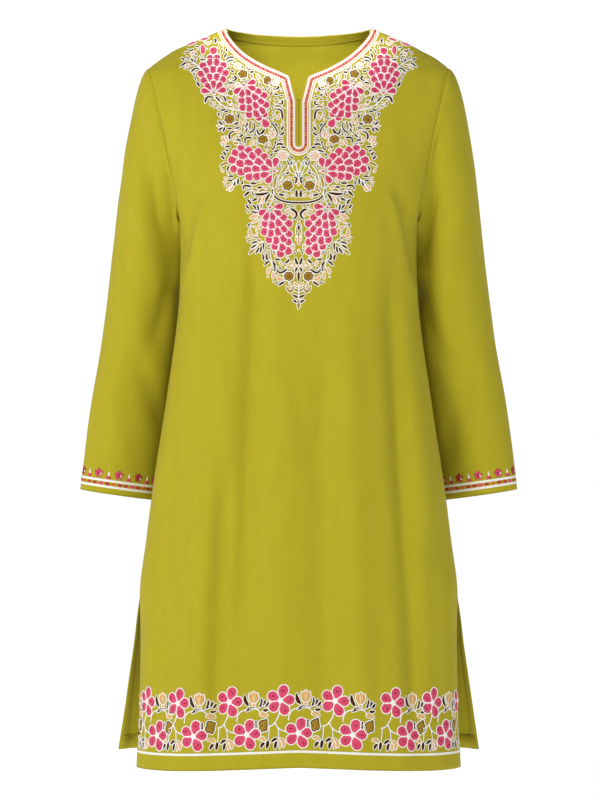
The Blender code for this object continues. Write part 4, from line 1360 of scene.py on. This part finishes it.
class Needlework:
    """Threads laid out flat and then carried onto their cloth in one piece."""

    def __init__(self, sizes, seed):
        self.outline = sizes.outline
        self.stitch = sizes.stitch
        self.lift = sizes.cloth / 2 - SUNK
        self.uneven = np.random.default_rng(seed)
        self.points, self.uv, self.faces, self.threads = [], [], [], []
        self.count = 0
        self.fits = None      # a test for each thread's points, if there is one

    def take(self, points, uv, faces, threads):
        """Adds lists of points and uvs, with their faces numbered from 0."""
        self.faces += [tuple(index + self.count for index in face) for face in faces]
        self.threads += threads
        self.count += sum(map(len, points))
        self.points += points
        self.uv += uv

    def add(self, points, uv, faces, thread):
        if self.fits is None or self.fits(points):
            self.take([points], [uv], faces, [thread] * len(faces))

    def rope(self, path, width, rise, thread, base=0.0, closed=False, blunt=False):
        """A raised line of thread, half round across and low at its ends."""
        path = np.asarray(path, float)
        width = np.broadcast_to(np.asarray(width, float), len(path)).copy()
        height = rise * np.minimum(1.0, width / max(width.max(), 1e-9) * 1.4)
        if not closed and not blunt:
            width[[0, -1]] *= 0.45
            height[[0, -1]] *= 0.3
        side = beside(path, closed)
        flat = path + SECTION[:, :1, None] * width[:, None] * side
        up = np.where(SECTION[:, 1:] > 0, base + SECTION[:, 1:] * height, 0.0)
        uv = np.stack(np.broadcast_arrays(run_of(path), SECTION[:, :1] * width), axis=-1)
        points = np.concatenate([flat, up[..., None]], axis=-1)
        self.add(points.reshape(-1, 3), uv.reshape(-1, 2),
                 quads(len(SECTION), len(path), closed)[:, ::-1], thread)

    def pad(self, shape, rise, thread, base=0.0):
        """A filled shape, domed, with its rounds of stitches running parallel to its edge."""
        middle = shape.mean(axis=0)
        rings = ((1.0, 0.0), (0.84, 0.72), (0.5, 0.95), (0.16, 1.0))
        radius = float(np.linalg.norm(shape - middle, axis=1).mean())
        run = run_of(shape)
        points, uv = [], []
        for share, up in rings:
            flat = middle + (shape - middle) * share
            level = base + rise * up if up else 0.0
            points.append(np.column_stack([flat, np.full(len(flat), level)]))
            uv.append(np.column_stack([np.full(len(flat), radius * share), run * share]))
        faces = [tuple(face) for face in quads(len(rings), len(shape), closed=True)[:, ::-1]]
        faces.append(tuple(range((len(rings) - 1) * len(shape), len(rings) * len(shape))))
        self.add(np.concatenate(points), np.concatenate(uv), faces, thread)

    def bound(self, shape, grow=0.00035, share=1.0, base=0.0):
        """The outline thread round a shape."""
        edge = shape - beside(shape, closed=True) * grow
        self.rope(edge, self.outline * share, self.outline * 0.60, "white thread", base,
                  closed=True)

    def dot(self, place, radius, thread, base=0.0):
        self.pad(np.asarray(place) + circle(radius, 10), radius * 0.45, thread, base)

    def petal(self, place, turn, length, width, base=0.0, blunt=0.8, spots=1):
        """A padded petal in satin stitch, with a thin round and dark seeds on it."""
        shape = placed(teardrop(length, width, blunt), place, turn)
        self.pad(shape, PETAL_RISE, "pink thread", base)
        self.bound(shape, share=0.64 + 0.16 * spots, base=base)
        middle = placed(np.array([[0.0, length * 0.60]]), place, turn)[0]
        for k in range(spots):
            aside = self.uneven.uniform(-1, 1, 2) * length * (0.02 + 0.07 * (spots - 1))
            spot = placed(teardrop(0.0030, 0.0019, count=8) - [0.0, 0.0015], middle + aside,
                          turn + self.uneven.uniform(-25, 25))
            self.pad(spot, 0.0003, "magenta thread", base=base + 0.00072)
        ring = middle + (shape - shape.mean(axis=0)) * 0.52
        self.rope(ring, 0.00042, 0.00010, "magenta thread", base=base + 0.00076, closed=True)

    def stroke(self, kind, thread, width, places):
        """A leaf, a hook, a stem, a vine or a hollow petal along a bend, in millimetres."""
        width = width * STROKE_FULLNESS / 1000.0
        path = through(places, 9)
        t = np.linspace(0.0, 1.0, len(path))
        if kind == "stem":
            path = through(places, 14)
            # A narrow brown rope beside the white stem, on one side only, is a painted shadow of
            # the stem.
            aside = beside(path) * 0.0008
            self.rope(path - aside, 0.0008, 0.0003, "brown thread")
            self.rope(path, width, width * 0.5, "white thread")
            return
        profile = {
            "leaf": np.sin(math.pi * t ** 0.86) ** 0.55,
            "lotus": np.sin(math.pi * t) ** 0.9,
            "hook": np.sqrt(1 - (2 * t - 1) ** 6) * (0.62 + 0.5 * t),
            "vine": np.full(len(t), 1.0),
        }[kind] * width
        side = beside(path)
        half = profile[:, None] / 2 + OUTLINE_GAP
        shape = np.concatenate([path - side * half, (path + side * half)[::-1]])
        if kind != "lotus":
            self.rope(path, profile, 0.0007, f"{thread} thread", blunt=True)
        self.rope(shape, self.outline * 0.72, self.outline * 0.50, "white thread", closed=True)

    def spot(self, kind, thread, size, x, z):
        """A small flower, a rose, a ring, a cup-shaped bud, a blossom or a dot."""
        size = size / 1000.0
        place = np.array([x, z]) / 1000.0
        colour = f"{thread} thread"
        turn = self.uneven.uniform(0.0, 1.0)
        if kind == "dot":
            self.dot(place, size, colour)
            self.bound(place + circle(size), share=0.8)
        elif kind == "flower":
            lobes = self.uneven.integers(5, 8)
            shape = scallops(size, lobes, 0.11, turn, 42)
            shape = place + shape * self.uneven.uniform(0.86, 1.12, 2)
            self.pad(shape, 0.0006, colour)
            self.bound(shape, 0.0010)
            self.rope(shape, 0.0012, 0.0007, "brown thread", closed=True)
            self.blotches(place, size, lobes)
        elif kind == "rose":
            shape = place + scallops(size, 7, 0.12, turn, 36)
            self.pad(shape, 0.0005, colour)
            self.bound(shape)
            angle = np.linspace(0.0, 4.4 * math.pi, 50)
            reach = size * (0.10 + 0.80 * angle / angle[-1])
            reach = reach * (1 + 0.10 * np.cos(4 * angle))
            whirl = np.stack([np.sin(angle) * reach, np.cos(angle) * reach], axis=-1)
            self.rope(place + whirl, 0.00085, 0.00025, "white thread", base=0.0004)
        elif kind == "ring":
            self.rope(place + circle(size, 20), self.outline, 0.0007, "white thread", closed=True)
            angle = np.linspace(-0.4, 2.6, 9)
            arc = np.stack([np.sin(angle), np.cos(angle)], axis=-1) * size * 0.70
            self.rope(place + arc, size * 0.32, 0.0005, colour)
            self.dot(place, size * 0.22, "brown thread")
        elif kind == "cup":
            shape = scallops(size, 4, 0.15, turn, 42) + scallops(size * 0.07, 7, 0.9, turn, 42)
            shape = placed(shape * [0.84, 1.24], place, self.uneven.uniform(-4, 18))
            self.pad(shape, 0.0007, colour)
            self.bound(shape, 0.0012)
            self.rope(shape, 0.0015, 0.0008, "brown thread", closed=True)
            self.blotches(place, size, 3)
        elif kind == "tulip":
            half = np.array(TULIP) / 10.0 * size * [1.12, 1.0]
            shape = place + np.concatenate([half, (half * [-1, 1])[-2:0:-1]])[::-1]
            self.pad(shape, 0.0007, colour)
            self.bound(shape, 0.0004)
            for lean in (-1, 0, 1):
                line = np.array([[0.16 * lean, -0.5], [0.50 * lean, 0.05], [0.30 * lean, 0.55]])
                self.rope(place + line * size, 0.0009, 0.0002,
                          "orange thread" if lean else "white thread", base=0.00060)
        elif kind == "blossom":
            for k in range(5):
                angle = 15 + 72 * k + self.uneven.uniform(-3, 3)
                aside = math.radians(angle)
                squeeze = math.hypot(BLOSSOM_SQUEEZE * math.sin(aside), math.cos(aside))
                foot = placed(np.array([[0.0, size * 0.13 * squeeze]]), place, angle)[0]
                self.petal(foot, angle, size * 0.87 * squeeze * self.uneven.uniform(0.97, 1.03),
                           size * 0.64, blunt=0.5, spots=2)
            centre = place + scallops(size * 0.20, 5, 0.05, count=15)
            self.pad(centre, 0.0013, "white thread")

    def blotches(self, place, size, count):
        """Uneven darker stitches and a few bright ones round the middle of a small flower."""
        for k in range(count):
            angle = 2 * math.pi * (k + self.uneven.uniform(-0.25, 0.25)) / count
            way = np.array([math.sin(angle), math.cos(angle)])
            far = self.uneven.uniform(0.50, 0.74)
            self.rope(place + np.array([[0.16], [0.34], [far]]) * way * size,
                      self.uneven.uniform(0.0010, 0.0016), 0.0002, "brown thread", base=0.00055)
            if k % 3 == 0:
                aside = np.array([way[1], -way[0]])
                self.rope(place + (way * 0.5 + aside * [[-0.2], [0.0], [0.2]]) * size,
                          0.0008, 0.0002, "orange thread", base=0.00060)

    def bunch(self, bunch):
        """Rows of petals like scales, each row over the feet of the next one out."""
        foot = np.array([bunch.x, bunch.z]) / 1000.0
        for k, row in reversed(list(enumerate(bunch.rows))):
            base = ROW_RISE * (len(bunch.rows) - 1 - k)
            for side in np.linspace(-1, 1, row.count) if row.count > 1 else [0.0]:
                angle = side * row.spread + self.uneven.uniform(-1.2, 1.2)
                reach = row.reach * (1 - 0.07 * side * side) * self.uneven.uniform(0.99, 1.02)
                width = bunch.wide * (1.07 if k else 0.86) * self.uneven.uniform(0.95, 1.03) / 1000
                length = bunch.wide * 1.40 * self.uneven.uniform(0.96, 1.05) / 1000
                start = placed(np.array([[0.0, reach / 1000.0 - length * 0.56]]), foot,
                               bunch.turn + angle)[0]
                lean = bunch.turn + angle * (1.0 if k < 1 else 0.80)
                self.petal(start, lean, length, width, base, 0.90 if k else 1.3)
        base = ROW_RISE * len(bunch.rows)
        self.dot(foot, BUNCH_FOOT, "pink thread", base)
        self.bound(foot + circle(BUNCH_FOOT), share=0.9, base=base)

    def cover(self, field):
        """Marks the cells of a field that have thread on them."""
        flat = np.concatenate(self.points)[:, :2]
        for count in {len(face) for face in self.faces}:
            faces = np.array([face for face in self.faces if len(face) == count])
            field.take(spread(flat[faces]))

    def sow(self, edge, others, fillings):
        """Small bent leaves in the gaps inside an edge, the largest first."""
        field = Field(edge)
        for other in others:
            other.cover(field)
        along, aside = (g.ravel() for g in np.meshgrid(np.linspace(-0.5, 0.5, 9), (-0.5, 0, 0.5)))
        for filling in fillings:
            full = (filling.width * STROKE_FULLNESS + FILLING_MARGIN) / 1000.0
            reach = filling.length / 1000.0
            leaf = np.column_stack([aside * full * np.sqrt(1 - (1.8 * along) ** 2), along * reach])
            for place in self.uneven.uniform(field.low, field.high, (filling.tries, 2)):
                sway = place * 1000.0
                turn = 75 * math.sin(sway[0] / 11 + 0.8 * math.sin(sway[1] / 14))
                turn += 45 * math.cos(sway[1] / 12) + self.uneven.uniform(-22, 22)
                spots = placed(leaf, place, turn)
                if not field.free(spots) or not within(edge, spots).all():
                    continue
                bend = np.array([[0.0, -0.5], [self.uneven.uniform(-0.16, 0.16), 0.0], [0.0, 0.5]])
                ends = placed(bend * reach, place, turn) * 1000.0
                thread = FILLING_THREADS[self.uneven.integers(len(FILLING_THREADS))]
                first = len(self.faces)
                self.stroke("leaf", thread, filling.width, ends)
                field.take(spots)
                flat = np.concatenate(self.points[-2:])[:, :2]
                field.take(spread(flat[np.array(self.faces[first:]) + len(flat) - self.count]))

    def lay(self, groups, spots, x=0.0, z=0.0):
        """Strokes and spots from their tables, moved by x and z."""
        for kind, thread, *rows in groups:
            for width, *places in rows:
                self.stroke(kind, thread, width, np.array(places) + [x, z] * 3)
        for each in spots:
            self.spot(each.kind, each.thread, each.size, each.x + x, each.z + z)

    def mirror(self):
        """Adds the mirror image of all that has been laid so far, across the centre line."""
        copies = [points * [-1.0, 1.0, 1.0] for points in self.points]
        self.take(copies, self.uv, [face[::-1] for face in self.faces], self.threads)

    def join(self, other):
        """Adds all that another piece of needlework holds."""
        self.take(other.points, other.uv, other.faces, other.threads)

    def stitches(self, path):
        """A row of machine stitches along a flat path."""
        path = np.asarray(path, float)
        run = run_of(path)
        for start in np.arange(self.stitch * 0.3, run[-1] - self.stitch, self.stitch * 1.12):
            line = between(path, run, start + BLOCK * self.stitch * STITCH_SHARE)
            self.rope(line, 0.0005, 0.00022, "green stitching")

    def braid(self, half, up):
        """A level plaited braid: two strands that swell in turn."""
        at = np.linspace(0.0, 2 * half, int(2 * half / BRAID_LUMP * 6) + 2)
        line = np.column_stack([at - half, np.full(len(at), up)])
        for lean in (-1, 1):
            swell = 1 + 0.16 * np.sin(2 * math.pi * at / BRAID_LUMP + lean * 1.2)
            middle = line + beside(line) * lean * BRAID_WIDTH * 0.245
            self.rope(middle, BRAID_WIDTH * 0.56 * swell, BRAID_RISE, "white thread", blunt=True)

    def make(self, name, ground):
        """The mesh: each point goes to a place on the ground and rises by its height."""
        flat = np.concatenate(self.points)
        names = sorted(set(self.threads))
        return add_mesh(
            name, ground(flat[:, 0], flat[:, 1], flat[:, 2] + self.lift), self.faces,
            [Finishes.get(thread) for thread in names], np.concatenate(self.uv),
            [names.index(thread) for thread in self.threads])


# ---- the neck's line
def beaded(path):
    """A path with its points close together and evenly spaced."""
    return evenly(path, int(run_of(path)[-1] / BEAD) + 2)


def mitred(path, distance):
    """A flat path moved to its left, with its corners kept sharp."""
    ahead = unit(np.diff(path, axis=0))
    normal = np.stack([-ahead[:, 1], ahead[:, 0]], axis=-1)
    one = np.concatenate([normal[:1], normal])
    two = np.concatenate([normal, normal[-1:]])
    share = 1 + (one * two).sum(axis=1, keepdims=True)
    return path + (one + two) / share * distance


def neck_path(distance):
    """The neck border's line at a distance from its inner edge, from one shoulder to the other."""
    row = np.linspace(-0.6, 5.0, 29)
    x = np.where(row < 0, FRONT_NECK_X(0.0) - row * 0.0044, FRONT_NECK_X(row))
    z = np.where(row < 0, -row * 0.010, FRONT_NECK_Z(row))
    turn = np.linspace(0.0, math.pi / 2, 9)
    half = np.concatenate([
        np.stack([x, z], axis=-1),
        [[0.0122, -0.0690], [0.0052, -0.0975], [BORDER_INNER, -0.1025]],
        np.stack([BORDER_INNER * np.cos(turn), BORDER_FOOT - BORDER_INNER * np.sin(turn)], -1)])
    whole = np.concatenate([half, (half * [-1.0, 1.0])[-2::-1]])
    line = beaded(mitred(whole, distance))
    kept = np.abs(line[:, 0]) < FRONT.half(np.minimum(line[:, 1], 0.0)) - RIDGE
    return line[kept & (line[:, 1] < -0.0008)]


# ---- showing a piece
def show(piece, slot, *nodes):
    """A finished piece rides on the frame and stands for its solids."""
    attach(piece, BODY_NAME)
    if nodes:
        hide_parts(*nodes)


class PieceOperator(bpy.types.Operator):
    """A piece of the kurta"""

    bl_options = {"REGISTER", "UNDO"}

    def execute(self, context):
        self.build(context.scene.kurta_sizes)
        return {"FINISHED"}


class KURTA_OT_front(PieceOperator):
    """Front panel: slit neck, armholes, side vents and hem"""

    bl_idname = "kurta.front"
    bl_label = "Front"

    def build(self, sizes):
        made = build_panel(FRONT, FRONT_NECK_X, FRONT_NECK_Z, sizes)
        show(made, "green_cloth", "front")


class KURTA_OT_back(PieceOperator):
    """Back panel: plain, with a shallow neck"""

    bl_idname = "kurta.back"
    bl_label = "Back"

    def build(self, sizes):
        made = build_panel(BACK, back_neck_x, back_neck_z, sizes)
        show(made, "green_cloth", "back")


class KURTA_OT_sleeves(PieceOperator):
    """Both sleeves"""

    bl_idname = "kurta.sleeves"
    bl_label = "Sleeves"

    def build(self, sizes):
        for sleeve in SLEEVES:
            made = build_sleeve(sleeve, sizes)
            show(made, "green_cloth", f"sleeve_{sleeve.name}")


class KURTA_OT_neck(PieceOperator):
    """Border round the neck and slit, the slit's stitching with painted shade, and the back neck's
    facing
    """

    bl_idname = "kurta.neck"
    bl_label = "Neck"

    def build(self, sizes):
        work = Needlework(sizes, 5)
        work.rope(neck_path(0.0059), 0.0114, 0.0003, "gold thread", blunt=True)
        for middle, width, thread in NECK_BANDS:
            work.rope(neck_path(middle / 1000), width / 1000, 0.0006, thread, 0.0002, blunt=True)
        self.chain(work, neck_path(NECK_CHAIN / 1000))
        show(work.make("neck_border_thread", FRONT.at), "border_thread", "neck_border")
        # Two dark rows along the slit's edges: stitched edges, darkened as painted shade of the gap
        # between them.
        work = Needlework(sizes, 15)
        for x in (-SLIT_ROW_X, SLIT_ROW_X):
            ends = np.array([[x, SLIT_TOP_Z - 0.0010], [x, SLIT_ROW_FOOT]])
            work.rope(beaded(ends), 0.0007, 0.0003, "slit stitching", blunt=True)
        work.dot((0.0, SLIT_TOP_Z - 0.0004), 0.0011, "brown thread")
        show(work.make("slit_stitching", FRONT.at), "green_cloth")
        self.facing(sizes)

    def chain(self, work, path):
        """Blocks of satin stitch, mostly red, on a pale ground."""
        work.rope(path, 0.0037, 0.00035, "peach thread", 0.0002, blunt=True)
        run = run_of(path)
        for k, start in enumerate(np.arange(0.0006, run[-1] - 0.004, 0.0036)):
            line = between(path, run, start + BLOCK * 0.0029)
            line[:, 0] += np.array([-1, -0.4, 0.4, 1]) * work.uneven.uniform(-0.0003, 0.0003)
            odd = "pink" if line[0, 1] > SLIT_TOP_Z else "orange"
            thread = ("red", odd, "red", "red", "pink")[k % 5]
            work.rope(line, 0.0034, 0.0006, f"{thread} thread", base=0.00035, blunt=True)

    def facing(self, sizes):
        """A band inside the back neck, level in the middle and sloping beside the shoulders."""
        t = np.linspace(-0.975, 0.975, 81)[:, None] * math.pi / 2
        across = np.array([0.0, 0.03, 0.25, 0.5, 0.75, 0.97, 1.0])
        sideways = np.abs(np.sin(t)) ** 3
        reach = FACING_WIDTH * math.cos(SHOULDER_SLOPE) * sideways * np.sign(t)
        fall = FACING_WIDTH * (math.sin(SHOULDER_SLOPE) * sideways + 1 - sideways)
        x = BACK.half(0.0) * np.sin(t) + reach * across
        z = -BACK_NECK_DROP * np.cos(t) ** 2 - fall * across - 0.0002
        inside = -(sizes.cloth / 2 + FACING_GAP + FACING_THICKNESS / 2)
        grid = BACK.at(x, z, np.full_like(x, inside))
        uv = np.stack([lengths(grid, 0), lengths(grid, 1)], axis=-1).reshape(-1, 2)
        made = add_mesh("back_neck_facing_cloth", grid.reshape(-1, 3), quads(*x.shape),
                        [Finishes.get("green cloth")], uv)
        thicken(made, FACING_THICKNESS)
        show(made, "green_facing", "back_neck_facing")
        work = Needlework(sizes, 6)
        work.lift = 0.0
        work.stitches(np.stack([x[:, -1] * 0.995, z[:, -1] + 0.0016], axis=-1))
        show(work.make("back_neck_stitching", lambda a, b, up: BACK.at(a, b, inside - SUNK - up)),
             "green_facing")


class KURTA_OT_yoke(PieceOperator):
    """Embroidery of petal bunches, leaves and scrolls round the neck"""

    bl_idname = "kurta.yoke"
    bl_label = "Yoke embroidery"

    def build(self, sizes):
        centre = Needlework(sizes, 4)
        centre.lay(YOKE_CENTRE, CENTRE_SPOTS)
        work = Needlework(sizes, 3)
        work.lay(YOKE_STROKES, YOKE_SPOTS)
        for bunch in BUNCHES:
            work.bunch(bunch)
        border = neck_path(YOKE_START)
        border = border[border[:, 0] > HALF_START]
        tip = [[HALF_START, YOKE_EDGE_TIP]]
        leaves = Needlework(sizes, 3)
        leaves.sow(np.concatenate([border[::-1], np.array(YOKE_EDGE) / 1000.0, tip]),
                   (work, centre), YOKE_FILLING)
        leaves.mirror()
        show(leaves.make("yoke_filling", FRONT.at), "border_thread")
        work.mirror()
        work.join(centre)
        show(work.make("yoke_embroidery", FRONT.at), "border_thread")


class KURTA_OT_hem(PieceOperator):
    """Braid and flowers along the front hem"""

    bl_idname = "kurta.hem"
    bl_label = "Hem embroidery"

    def build(self, sizes):
        edge = FRONT.half_hem() - 0.0015
        work = Needlework(sizes, 7)
        work.braid(edge, HEM_BRAID_UP)
        show(work.make("hem_braid_thread", FRONT.along_hem), "white_braid", "hem_braid")
        work = Needlework(sizes, 8)
        work.fits = lambda points: np.abs(points[:, 0]).max() < edge - 0.0006
        for place in HEM_PLACES:
            work.lay(HEM_REPEAT, HEM_SPOTS + HEM_FLOWERS, place, UPPER_FLOWER)
        show(work.make("hem_embroidery", FRONT.along_hem), "border_thread")


class KURTA_OT_cuffs(PieceOperator):
    """Braids, dashes and small flowers round both cuffs"""

    bl_idname = "kurta.cuffs"
    bl_label = "Cuff embroidery"

    def build(self, sizes):
        for sleeve in SLEEVES:
            half = sleeve.half_girth()
            for place, up in CUFF_BRAIDS_UP.items():
                work = Needlework(sizes, 9)
                work.braid(half, up)
                node = f"cuff_braid_{place}_{sleeve.name}"
                show(work.make(f"{node}_thread", sleeve.around), "white_braid", node)
            work = Needlework(sizes, 10 + sleeve.side)
            self.dashes(work, half)
            self.flowers(work, half)
            show(work.make(f"cuff_embroidery_{sleeve.name}", sleeve.around), "border_thread")

    def dashes(self, work, half):
        """A row of slanted dashes between the two braids."""
        middle = sum(CUFF_BRAIDS_UP.values()) / 2
        for k, start in enumerate(np.arange(-half, half - 0.006, DASH_PITCH)):
            long = work.uneven.uniform(0.0058, 0.0073)
            slant = work.uneven.uniform(-0.0005, 0.0007)
            line = np.array([[0, slant], [0.3, slant / 2], [0.7, -slant / 2], [1, -slant]])
            thread = ("red", "pink", "red", "orange", "red")[k % 5]
            work.rope(line * [long, 1] + [start, middle], 0.0042, 0.0008, f"{thread} thread")

    def flowers(self, work, half):
        """Small flowers above the braid, with a white-tipped bud between each two."""
        pitch = 2 * half / CUFF_FLOWERS
        for k in range(CUFF_FLOWERS):
            middle = (k + 0.5) * pitch - half
            place = np.array([middle, CUFF_FLOWER_UP + work.uneven.uniform(-0.0004, 0.0004)])
            first = work.uneven.uniform(-12, 12)
            for turn in first + 72 * np.arange(5):
                shape = placed(teardrop(0.0057, 0.0043, 0.7, 14), place, turn)
                work.pad(shape, 0.0007, "red thread" if k % 3 == 2 else "pink thread")
                work.rope(shape, 0.0005, 0.0004, "magenta thread", closed=True)
                vein = placed(np.array([[0.0, 0.0012], [0.0, 0.0026], [0.0, 0.0042]]), place, turn)
                work.rope(vein, 0.0010, 0.0002, "magenta thread", base=0.0006)
            work.dot(place, 0.0010, "brown thread", base=0.0006)
            x = middle * 1000
            work.stroke("leaf", "white", 0.5, (x + 1.5, 22.6, x + 2.6, 24.5, x + 2.2, 27))
            bud = middle + pitch / 2
            tip = np.array([[0.2, 21.5], [0.4, 24.5], [0.0, 27.0], [0.2, 30.0]]) / 1000 + [bud, 0]
            work.rope(tip, np.array([0.0018, 0.0024, 0.0018, 0.0010]), 0.0008, "white thread")
            for lean in (-3.0, -1.0, 1.0, 3.0):
                line = np.array([[lean, 19.2], [lean * 0.75, 21.2], [lean * 0.3, 24.4]]) / 1000
                work.rope(line + [bud, 0], 0.0024, 0.0008,
                          "red thread" if lean > 0 else "pink thread")


class KURTA_OT_stitching(PieceOperator):
    """Machine stitches along the vents, the hems and the cuffs"""

    bl_idname = "kurta.stitching"
    bl_label = "Stitching"

    def build(self, sizes):
        hem = sizes.hem_turning - 0.001
        for panel in (FRONT, BACK):
            work = Needlework(sizes, 12)
            edge = panel.half_hem()
            inner = edge - sizes.vent_turning + 0.0008
            top = VENT_TOP_Z - panel.low + 0.001
            for side in (-1, 1):
                work.stitches([[side * inner, 0.002], [side * inner, top]])
                work.stitches([[side * inner, top], [side * edge, top]])
            work.stitches([[-inner, hem], [inner, hem]])
            show(work.make(f"{panel.name}_stitching", panel.along_hem), "green_cloth")
        for sleeve in SLEEVES:
            work = Needlework(sizes, 13)
            half = sleeve.half_girth()
            work.stitches([[-half, CUFF_ROW_UP], [half, CUFF_ROW_UP]])
            show(work.make(f"cuff_stitching_{sleeve.name}", sleeve.around), "green_cloth")


class KURTA_OT_stage(bpy.types.Operator):
    """Pale floor, soft lights and camera"""

    bl_idname = "kurta.stage"
    bl_label = "Stage"
    bl_options = {"REGISTER", "UNDO"}

    def execute(self, context):
        stage = context.scene.kurta_stage
        low = CAD_BOX[0][2]
        floor = self.floor(low - stage.floor_drop)
        self.world(context.scene)
        self.light("key", (-2.45, -3.45, 1.6), (0.0, 0.0, -0.45), 1.4, stage.key_power)
        self.light("fill", (2.6, -2.8, 0.2), (0.0, 0.0, -0.5), 2.4, stage.key_power * 0.07)
        self.neck_light(stage)
        self.camera(context.scene, stage)
        return {"FINISHED"}

    def add(self, name, data, place):
        made = bpy.data.objects.new(name, data)
        made.location = place
        bpy.context.scene.collection.objects.link(made)
        return made

    def floor(self, z):
        shape = bmesh.new()
        bmesh.ops.create_circle(shape, cap_ends=True, segments=96, radius=60.0)
        mesh = bpy.data.meshes.new("floor")
        shape.to_mesh(mesh)
        shape.free()
        finish = Finish("pale floor")
        finish.set(Base_Color=(0.8, 0.8, 0.8), Roughness=0.9, Emission_Color=(1.0, 1.0, 1.0))
        finish.shader.inputs["Emission Strength"].default_value = 0.66
        finish.shader.inputs["Specular IOR Level"].default_value = 0.0
        mesh.materials.append(finish.material)
        return self.add("floor", mesh, (0.0, 0.0, z))

    def world(self, scene):
        """A room that is bright behind the garment and, low down, at its sides."""
        world = bpy.data.worlds.new("soft room")
        room = Finish("soft room", world)
        way = room.node("ShaderNodeTexCoord", {}, {})
        ahead, up = room.part(way, 1), room.part(way, 2)
        sides = (1 - room.rise(ahead.abs(), 0.36, 0.52)) * (1 - room.rise(up, 0.28, 0.42))
        bright = room.math("MAXIMUM", room.rise(ahead, 0.55, 0.93), sides * 0.84)
        room.set(Color=(1.0, 1.0, 1.0), Strength=bright * 0.69 + 0.36)
        scene.world = world
        scene.view_settings.view_transform = "Standard"
        scene.view_settings.look = "None"

    def light(self, name, place, target, size, power, kind="AREA"):
        data = bpy.data.lights.new(name, kind)
        if kind == "AREA":
            data.shape = "DISK"
            data.size = size
        else:
            data.shadow_soft_size = size
        data.energy = power
        made = self.add(name, data, place)
        made.rotation_euler = (Vector(target) - Vector(place)).to_track_quat("-Z", "Y").to_euler()
        return data

    def neck_light(self, stage):
        """A narrow light from high in front, which passes over the neckline to the back."""
        spot = self.light(
            "neck", (0.0, -2.2, 1.6), (0.0, 0.060, -0.010), 0.05, stage.neck_power, "SPOT")
        spot.spot_size = math.radians(6.0)
        spot.spot_blend = 0.5

    def camera(self, scene, stage):
        data = bpy.data.cameras.new("camera")
        data.sensor_fit = "VERTICAL"
        data.sensor_height = data.sensor_width = FILM
        data.lens = stage.camera_distance * FILM / stage.view_height
        made = self.add("camera", data, (VIEW_X, -stage.camera_distance, VIEW_Z))
        made.rotation_euler = (math.pi / 2, 0.0, 0.0)
        scene.camera = made


PIECES = (KURTA_OT_front, KURTA_OT_back, KURTA_OT_sleeves, KURTA_OT_neck, KURTA_OT_yoke,
          KURTA_OT_hem, KURTA_OT_cuffs, KURTA_OT_stitching)
SETTINGS = {"kurta_sizes": KurtaSizes, "kurta_colours": KurtaColours, "kurta_stage": KurtaStage}


class KURTA_PT_panel(bpy.types.Panel):
    """Lists the pieces of the kurta"""

    bl_idname = "KURTA_PT_panel"
    bl_label = "Kurta"
    bl_space_type = "VIEW_3D"
    bl_region_type = "UI"
    bl_category = "Kurta"

    def draw(self, context):
        for name in SETTINGS:
            box = self.layout.box()
            group = getattr(context.scene, name)
            for key in group.bl_rna.properties.keys():
                if key not in ("rna_type", "name"):
                    box.prop(group, key)
        for piece in (*PIECES, KURTA_OT_stage):
            self.layout.operator(piece.bl_idname)


CLASSES = (*SETTINGS.values(), *PIECES, KURTA_OT_stage, KURTA_PT_panel)


def register():
    for each in CLASSES:
        bpy.utils.register_class(each)
    for name, group in SETTINGS.items():
        setattr(bpy.types.Scene, name, PointerProperty(type=group))


def unregister():
    for name in SETTINGS:
        delattr(bpy.types.Scene, name)
    for each in reversed(CLASSES):
        bpy.utils.unregister_class(each)


def main():
    register()
    for piece in PIECES:
        getattr(bpy.ops.kurta, piece.bl_idname.split(".")[1])()
    bpy.ops.kurta.stage()


if __name__ == "__main__":
    main()
